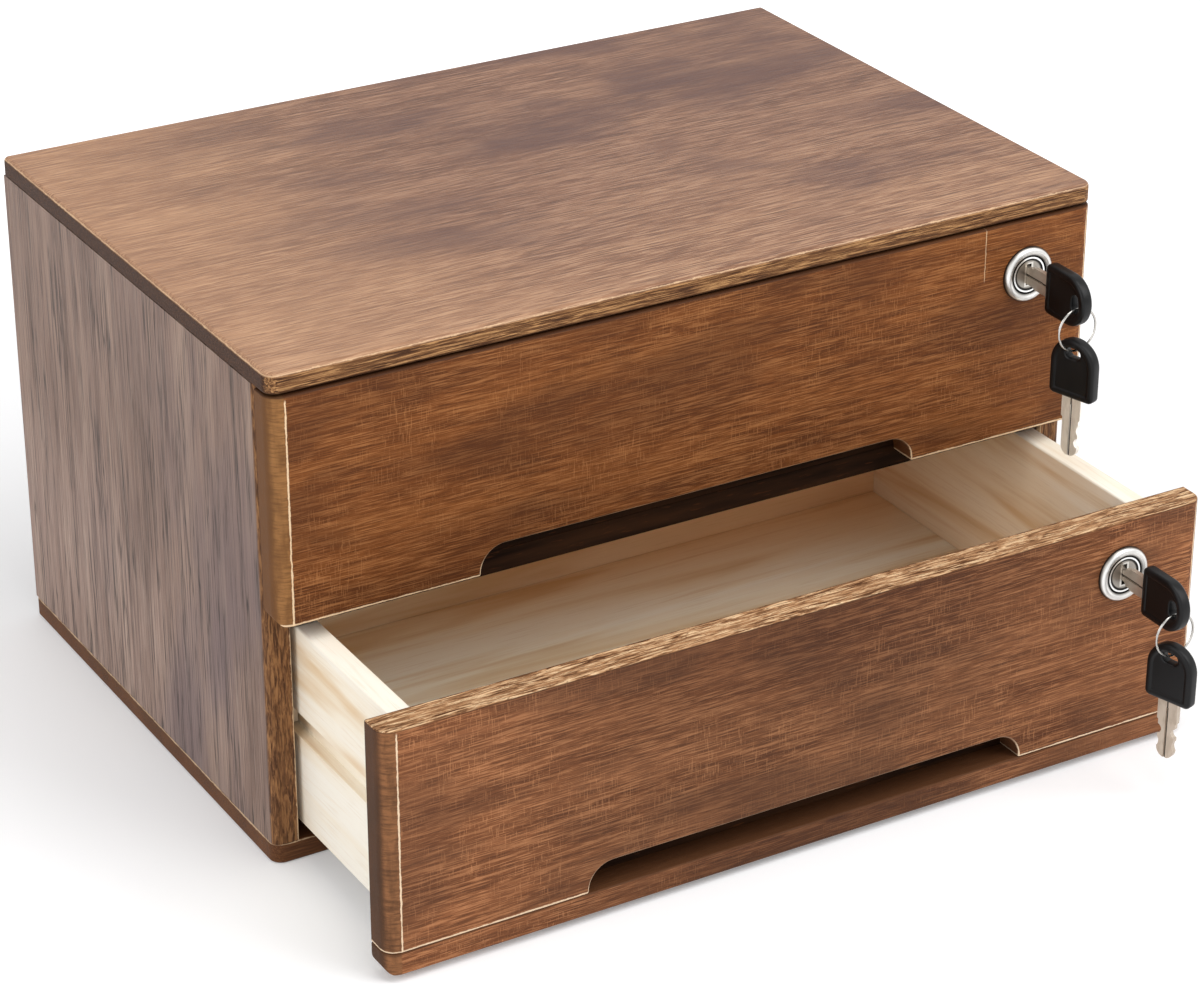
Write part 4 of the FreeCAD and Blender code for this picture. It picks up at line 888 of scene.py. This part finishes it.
def metal(name, colour, gloss, *pieces):
    """Metal whose gloss changes softly over its surface."""
    material, place = new_finish(name)
    stains = noise(place, 3.0)
    rubs = noise(place, 0.5, 3.0, 0.6)
    shade = (*[channel * STAIN_SHARE for channel in colour[:3]], 1.0)
    tone = tint(between(stains, 0.4, 0.7), colour, shade)
    raise_surface(material, rubs, 0.001, 0.2)
    roughness = between(rubs, 0.35, 0.65, gloss, gloss + 0.1)
    coat(material, tone, roughness, *pieces, metallic=1.0)
    return material


def moulded_plastic(name):
    """Black plastic with the faint peel of its mould."""
    material, place = new_finish(name)
    peel = noise(place, PEEL_SIZE)
    smears = noise(place, SMEAR_SIZE)
    shade = tint(between(smears, 0.4, 0.7), PLASTIC_BLACK, PLASTIC_SMEARED)
    raise_surface(material, peel, 0.02, 0.4)
    coat(material, shade, between(smears, 0.35, 0.65, 0.36, 0.48), sheen=PLASTIC_SHEEN)
    return material


ZINC = linear(196, 196, 192)
ZINC_GLOSS = 0.34
SCREW_ZINC = metal("screw_zinc", ZINC, ZINC_GLOSS)
for level in LEVELS:
    steel_pieces = [f"{level}_lock_{piece}" for piece in ("clip", "cam", "cam_screw")]
    metal(f"{level}_lock_steel", ZINC, ZINC_GLOSS, *steel_pieces)
FASTENERS = [name for name in NODES if name.endswith(("screws", "nails"))]
dress(SCREW_ZINC, *FASTENERS)
print("fasteners:", ", ".join(FASTENERS))

# %% [markdown]
# ## The face of a lock
#
# Seen from the front a cam lock is a row of rings: a broad satin rim, a black gap round the
# turning plug, a bright narrow ring, a dark groove and a grey face with the key slot. The black
# gap, the dark groove, the dark outer edge of the rim and the dark slot are painted shade, and
# the rise and fall of tone across the rim is painted shading. The rings could be separate
# materials on separate faces. Here the distance from the lock's axis picks the tone from a strip
# of colours, which keeps every ring round and in its place when the plug turns.

# %% Finish the locks
# How far from the axis, in millimetres, and the tone there, painted shade and shading included.
RINGS = (
    (0.0, (120, 112, 104)), (5.4, (150, 144, 136)), (5.8, (40, 37, 34)),
    (6.45, (48, 45, 42)), (6.6, (240, 240, 238)), (7.1, (236, 236, 234)),
    (7.22, (10, 10, 10)), (7.8, (14, 14, 14)), (8.0, (120, 117, 112)),
    (8.7, (228, 226, 222)), (9.5, (206, 204, 200)), (10.4, (242, 241, 238)),
    (10.85, (140, 136, 130)), (11.15, (54, 50, 46)),
)
RINGS_REACH = 12.0
HAZE_GREY = linear(130, 126, 120)
# Half widths across and up, and the tone, of the slot's lip and of the slot in painted shade.
KEY_SLOT = ((1.9, 4.9, linear(206, 202, 194)), (1.1, 4.3, linear(20, 17, 15)))


def ringed_chrome(name, level, *pieces):
    """Satin chrome with the tones of a cam lock's rings, painted shade and shading among them."""
    material, here = new_finish(name)
    low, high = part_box(f"{level}_lock_barrel")
    x, _, z = split(here)
    across = apart(x, (low[0] + high[0]) / 2)
    up = apart(z, (low[2] + high[2]) / 2)
    share = calc("DIVIDE", distance(across, up), RINGS_REACH * MM)
    tone = ramp(share, *[(radius / RINGS_REACH, linear(*tone)) for radius, tone in RINGS])
    across = calc("ABSOLUTE", across)
    up = calc("ABSOLUTE", up)
    for half_x, half_z, shade in KEY_SLOT:
        slot_x = below(across, half_x * MM, 0.1)
        slot_z = below(up, half_z * MM, 0.1)
        tone = tint(times(slot_x, slot_z), tone, shade)
    hazes = noise(here, 6.0, 2.0)
    tone = tint(between(hazes, 0.45, 0.7, 0.0, 0.12), tone, HAZE_GREY)
    coat(material, tone, between(hazes, 0.35, 0.65, 0.3, 0.36), *pieces, metallic=0.9)


for level in LEVELS:
    ringed_chrome(f"{level}_lock_chrome", level, f"{level}_lock_barrel", f"{level}_lock_plug")
print("a lock shows", len(RINGS), "tones from its axis to its rim")

# %% [markdown]
# ## Skins over outlines
#
# The key heads and the screws are made in one way: a row of closed outlines with the same
# number of points, and a skin from each outline to the next. A lathe can only make round things
# and a boolean leaves untidy faces, while this skin goes from a round rim to a cross-shaped recess
# or a slot without a break.

# %% Helpers for modelled pieces
SHARP_ANGLE = math.radians(32.0)


def skin(shape, outlines, closed_round=False):
    """Faces from each outline to the next. The ends are capped, or joined to each other."""
    rows = [[shape.verts.new(point) for point in outline] for outline in outlines]
    pairs = list(zip(rows, rows[1:]))
    if closed_round:
        pairs.append((rows[-1], rows[0]))
    else:
        shape.faces.new(rows[0])
        shape.faces.new(list(reversed(rows[-1])))
    for row, following in pairs:
        for index in range(len(row)):
            after = (index + 1) % len(row)
            shape.faces.new((row[index], following[index], following[after], row[after]))


def middle_of(packed):
    """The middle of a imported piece."""
    low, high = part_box(packed)
    return (Vector(low) + Vector(high)) / 2


def put_piece(name, shape, turn, finish, body, node):
    """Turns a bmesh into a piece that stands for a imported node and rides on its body."""
    shape.transform(turn)
    bmesh.ops.recalc_face_normals(shape, faces=shape.faces)
    mesh = bpy.data.meshes.new(name)
    shape.to_mesh(mesh)
    shape.free()
    mesh.shade_smooth()
    mesh.set_sharp_from_angle(angle=SHARP_ANGLE)
    mesh.materials.append(finish)
    piece = add_object(name, mesh)
    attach(piece, body)
    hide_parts(node)
    return piece


print("skins sharpen past", round(math.degrees(SHARP_ANGLE)), "degrees")

# %% [markdown]
# ## The key heads
#
# A head is moulded in one shot: an arch with a straight foot, a broad soft rim that a thumb
# feels, a panel a little lower inside it, and a long hole for the ring with rounded lips. The
# outlines run from the middle of the edge over the rim and the panel into the hole and out on
# the other side, so the skin closes on itself.

# %% Model the key heads
HEAD_HALF_WIDTH = 10.2
HEAD_TOP = 5.6
HEAD_FOOT = -18.4
FOOT_ROUND = 2.2
SMALLEST_CORNER = 0.3
HOLE_HALF_RUN = 1.4
HOLE_ROUND = 2.1
SPARE_TURN = 16.0
# How far inside the edge, and how high, each outline of the rim and the panel lies.
HEAD_SKIN = (
    (0.0, 1.2), (0.12, 1.75), (0.5, 2.2), (1.1, 2.44), (1.9, 2.5), (2.5, 2.44), (2.85, 2.18),
    (3.0, 2.12), (3.1, 2.12),
)
# The same for the lips of the hole, from outside the hole's rim.
HOLE_SKIN = ((0.95, 2.12), (0.85, 2.12), (0.4, 2.06), (0.1, 1.85), (0.0, 1.5))


def arc(middle_y, middle_z, radius, first, last, count):
    """Points along an arc, from one angle in degrees to another."""
    angles = [math.radians(first + (last - first) * step / count) for step in range(count)]
    return [(middle_y + radius * math.cos(a), middle_z + radius * math.sin(a)) for a in angles]


def run(first, last, count):
    """Points along a straight run."""
    steps = range(count)
    return [tuple(a + (b - a) * step / count for a, b in zip(first, last)) for step in steps]


def head_outline(depth=0.0):
    """The arch with its straight foot, as points round it, moved inwards by a depth."""
    side = HEAD_HALF_WIDTH - depth
    corner = max(FOOT_ROUND - depth, SMALLEST_CORNER)
    bottom = HEAD_FOOT + depth
    foot = bottom + corner
    arch = HEAD_TOP - HEAD_HALF_WIDTH
    inner = side - corner
    return (
        run((-inner, bottom), (inner, bottom), 14)
        + arc(inner, foot, corner, -90.0, 0.0, 5)
        + run((side, foot), (side, arch), 8)
        + arc(0.0, arch, side, 0.0, 180.0, 36)
        + run((-side, arch), (-side, foot), 8)
        + arc(-inner, foot, corner, 180.0, 270.0, 5)
    )


def hole_point(direction, lip):
    """Where a ray from the hole's middle meets the hole's rim, or a line round it."""
    c, s = abs(direction.x), abs(direction.y)
    radius = HOLE_ROUND + lip
    reach = radius / s if s > 0.0 else math.inf
    if c * reach > HOLE_HALF_RUN:
        reach = HOLE_HALF_RUN * c + math.sqrt(radius**2 - (HOLE_HALF_RUN * s) ** 2)
    return (direction.x * reach, direction.y * reach)


def head_skin():
    """The outlines of a head, from the middle of its edge through its hole and round again."""
    directions = [Vector(point).normalized() for point in head_outline()]
    front = [(height, head_outline(depth)) for depth, height in HEAD_SKIN]
    front += [(height, [hole_point(d, lip) for d in directions]) for lip, height in HOLE_SKIN]
    both = front + [(-height, outline) for height, outline in reversed(front)]
    return [[Vector((height, y, z)) * MM for y, z in outline] for height, outline in both]


def make_head(level, name, body, spare, finish):
    """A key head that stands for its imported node."""
    packed = f"{level}_{name}_head"
    low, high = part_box(packed)
    middle = middle_of(packed)
    if spare:
        middle.z = high[2] - HEAD_TOP * MM
        turn = Matrix.Rotation(math.radians(SPARE_TURN), 4, "Z")
    else:
        middle.y = low[1] + HEAD_TOP * MM
        turn = Matrix.Rotation(math.radians(90.0), 4, "X")
    shape = bmesh.new()
    skin(shape, head_skin(), closed_round=True)
    place = Matrix.Translation(middle) @ turn
    moulded = f"{level}_{name}_moulded_head"
    return put_piece(moulded, shape, place, finish, body, packed)


for level in LEVELS:
    plastic = moulded_plastic(f"{level}_key_plastic")
    make_head(level, "key", f"{level}_key_in_lock", False, plastic)
    head = make_head(level, "spare_key", f"{level}_spare_key", True, plastic)
print("a head has", len(head.data.polygons), "faces")

# %% [markdown]
# ## The blades
#
# The blades are milled from nickel silver, with one long groove along each flat that the lock's
# wards run in. The imported blades have the bites and the groove, so they stay, and the finish
# darkens the groove with painted shade and dark reflection. The nickel is painted in a lit copy
# for the upper spare blade and a shaded copy for the others. The upper spare key hangs the
# other way round, with its bites on the right, so that one is turned over.

# %% Finish the blades and turn one over
# One nickel silver in a painted lit copy and a painted shaded copy, and painted shade for the
# groove.
NICKEL_PAINTED_LIT = linear(252, 248, 240)
NICKEL_PAINTED_SHADED = linear(196, 182, 166)
GROOVE_PAINTED_SHADE = linear(38, 30, 24)
GROOVE_HALF = 0.34
DRAWN_SHADE = (0.86, 0.84, 0.82, 1.0)


def milled_nickel(name, colour, wide, piece):
    """Nickel silver with painted shade in its groove. Wide is the direction across the flat of the
    blade.
    """
    material, here = new_finish(name)
    offset = -middle_of(piece).dot(wide)
    for coordinate, share in zip(split(here), wide):
        offset = calc("ADD", offset, times(coordinate, share))
    groove = below(calc("ABSOLUTE", offset), GROOVE_HALF * MM, 0.12)
    drawn = streaks(here, "YZ", 0.6, 6.0, 3.0, 0.5)
    body = tint(between(drawn, 0.4, 0.7), colour, DRAWN_SHADE, "MULTIPLY")
    # Painted shade and dark reflection along the groove.
    body = tint(times(groove, 0.9), body, GROOVE_PAINTED_SHADE)
    coat(material, body, between(drawn, 0.35, 0.65, 0.34, 0.42), piece, metallic=0.75)
    return material


def turn_over(node, wide, finish, body):
    """A copy of a packed blade, mirrored across its flat, that stands for it."""
    middle = Matrix.Translation(middle_of(node))
    shape = bmesh.new()
    shape.from_mesh(NODES[node].data)
    mirror = middle @ Matrix.Scale(-1.0, 4, wide) @ middle.inverted()
    return put_piece(f"{node}_turned_over", shape, mirror, finish, body, node)


ACROSS_SPARE = Matrix.Rotation(math.radians(SPARE_TURN), 3, "Z") @ Vector((0.0, 1.0, 0.0))
ACROSS_KEY = Vector((0.0, 0.0, 1.0))
for level in LEVELS:
    milled_nickel(f"{level}_key_nickel", NICKEL_PAINTED_SHADED, ACROSS_KEY, f"{level}_key_blade")
    blade = f"{level}_spare_key_blade"
    # The upper spare blade takes the painted lit copy of the nickel, the others the shaded one.
    colour = NICKEL_PAINTED_LIT if level == "upper" else NICKEL_PAINTED_SHADED
    nickel = milled_nickel(f"{level}_spare_key_nickel", colour, ACROSS_SPARE, blade)
    if level == "upper":
        turn_over(blade, ACROSS_SPARE, nickel, "upper_spare_key")
print("across the spare blades:", [round(v, 2) for v in ACROSS_SPARE])

# %% [markdown]
# ## The split rings
#
# A key ring is flattened spring wire wound nearly twice round, so that a key can be threaded on.
# A torus would have no ends. The skin helper serves here too: the outlines are the oval sections
# of the wire, set along a slow screw line, so the two turns lie side by side and both ends show.

# %% Wind the rings
RING_RADIUS = 8.5
RING_TURNS = 1.92
RING_SPREAD = 0.24
WIRE_HALF_TALL = 0.42
WIRE_HALF_WIDE = 0.22
WIRE_POINTS = 12
POINTS_PER_TURN = 44
FIRST_END = 200.0
WIRE_GREY = linear(186, 183, 178)
WIRE_GLOSS = 0.2


def wire_section(turn, shift):
    """The oval section of the wire at a turn round the ring, in radians, and a sideways shift."""
    outward = Vector((math.cos(turn), 0.0, math.sin(turn)))
    sideways = Vector((0.0, 1.0, 0.0))
    middle = outward * RING_RADIUS + sideways * shift
    points = []
    for step in range(WIRE_POINTS):
        angle = 2.0 * math.pi * step / WIRE_POINTS
        rise = outward * (WIRE_HALF_TALL * math.cos(angle))
        points.append((middle + rise + sideways * (WIRE_HALF_WIDE * math.sin(angle))) * MM)
    return points


def wind_ring(level, finish):
    """Two turns of flat wire, side by side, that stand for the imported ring."""
    packed = f"{level}_key_ring"
    count = round(RING_TURNS * POINTS_PER_TURN)
    sections = []
    for step in range(count + 1):
        share = step / count
        turn = math.radians(FIRST_END) + 2.0 * math.pi * RING_TURNS * share
        sections.append(wire_section(turn, (2.0 * share - 1.0) * RING_SPREAD))
    shape = bmesh.new()
    skin(shape, sections)
    place = Matrix.Translation(middle_of(packed))
    body = f"{level}_ring_on_key"
    return put_piece(f"{level}_split_ring", shape, place, finish, body, packed)


for level in LEVELS:
    wind_ring(level, metal(f"{level}_ring_wire", WIRE_GREY, WIRE_GLOSS))
print("each ring has", RING_TURNS, "turns of wire")

# %% [markdown]
# ## The screws
#
# The countersunk screws show their heads under the base, under the strip and inside the drawers.
# What makes a screw head read as one is its cross-shaped recess, tapered towards its floor. The
# cross is an outline too: at each angle it reaches as far as its arm is long, or as far as the
# arm's side lets it.

# %% Model the screws
SCREW_HEAD = 3.1
SCREW_SHANK = 1.6
HEAD_FLAT_INSET = 0.15
HEAD_FLAT_DEPTH = 0.12
# Depth and size of the recess, from its floor up.
RECESS_STEPS = ((1.3, 0.45), (0.7, 0.8), (0.0, 1.0))
RECESS_REACH = 1.75
RECESS_ARM = 0.42
SCREW_POINTS = 48


def screw_outline(depth, reach):
    """An outline across the screw, at a depth below its head's flat, as far out as its reach."""
    points = []
    for step in range(SCREW_POINTS):
        angle = 2.0 * math.pi * step / SCREW_POINTS
        far = reach(abs(math.cos(angle)), abs(math.sin(angle)))
        points.append(Vector((far * math.cos(angle), far * math.sin(angle), depth)) * MM)
    return points


def circle(depth, radius):
    """A round outline."""
    return screw_outline(depth, lambda c, s: radius)


def cross(depth, size):
    """The recess: out to its arm's end, or to the arm's side where that is nearer."""
    widest = RECESS_ARM / RECESS_REACH
    return screw_outline(depth, lambda c, s: size * (RECESS_ARM / max(min(c, s), widest)))


def screw_skin(length):
    """The outlines of a screw from the floor of its recess to its point."""
    steps = (
        (0.0, SCREW_HEAD - HEAD_FLAT_INSET),
        (HEAD_FLAT_DEPTH, SCREW_HEAD),
        (SCREW_HEAD - SCREW_SHANK, SCREW_SHANK),
        (length - 2.0 * SCREW_SHANK, SCREW_SHANK),
        (length, SCREW_SHANK * 0.1),
    )
    return [cross(*step) for step in RECESS_STEPS] + [circle(*step) for step in steps]


def drive_screws(group, body, length, turn, spots):
    """All the screws of a packed group, as one piece."""
    shape = bmesh.new()
    for spot in spots:
        place = Matrix.Translation(spot) @ turn
        skin(shape, [[place @ point for point in outline] for outline in screw_skin(length)])
    name = f"{group}_cross_headed"
    put_piece(name, shape, Matrix.Identity(4), SCREW_ZINC, body, group)


BASE_SCREW_LENGTH = 30.0
STRIP_SCREW_LENGTH = 22.0
STRIP_SCREWS_OUT = (115.0, 150.0)
FRONT_SCREWS_X = (-126.0, -42.0, 42.0, 126.0)
UPWARDS = Matrix.Identity(4)
FORWARDS = Matrix.Rotation(math.radians(90.0), 4, "X")
low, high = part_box("base_screws")
edge = SCREW_HEAD * MM
base_spots = [
    (x, y, low[2])
    for x in (low[0] + edge, high[0] - edge)
    for y in (low[1] + edge, (low[1] + high[1]) / 2, high[1] - edge)
]
drive_screws("base_screws", "cabinet", BASE_SCREW_LENGTH, UPWARDS, base_spots)
low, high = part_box("base_strip_screws")
strip_y = (low[1] + high[1]) / 2
strip_spots = [(side * x * MM, strip_y, low[2]) for side in (-1, 1) for x in STRIP_SCREWS_OUT]
drive_screws("base_strip_screws", "lower_drawer", STRIP_SCREW_LENGTH, UPWARDS, strip_spots)
for level in LEVELS:
    low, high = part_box(f"{level}_front_screws")
    middle_z = (low[2] + high[2]) / 2
    front_spots = [(x * MM, high[1], middle_z) for x in FRONT_SCREWS_X]
    length = (high[1] - low[1]) / MM
    drive_screws(f"{level}_front_screws", f"{level}_drawer", length, FORWARDS, front_spots)
print("base screws at", [tuple(round(v / MM) for v in spot) for spot in base_spots])

# %% [markdown]
# ## Finish
#
# Every imported piece that shows gets a finish made here. The last lines list any shown piece
# that still has none.

# %% Check and finish
shown = [name for name, piece in NODES.items() if not piece.hide_render]
bare_pieces = [name for name in shown if not NODES[name].data.materials]
print("pieces without a finish:", bare_pieces)
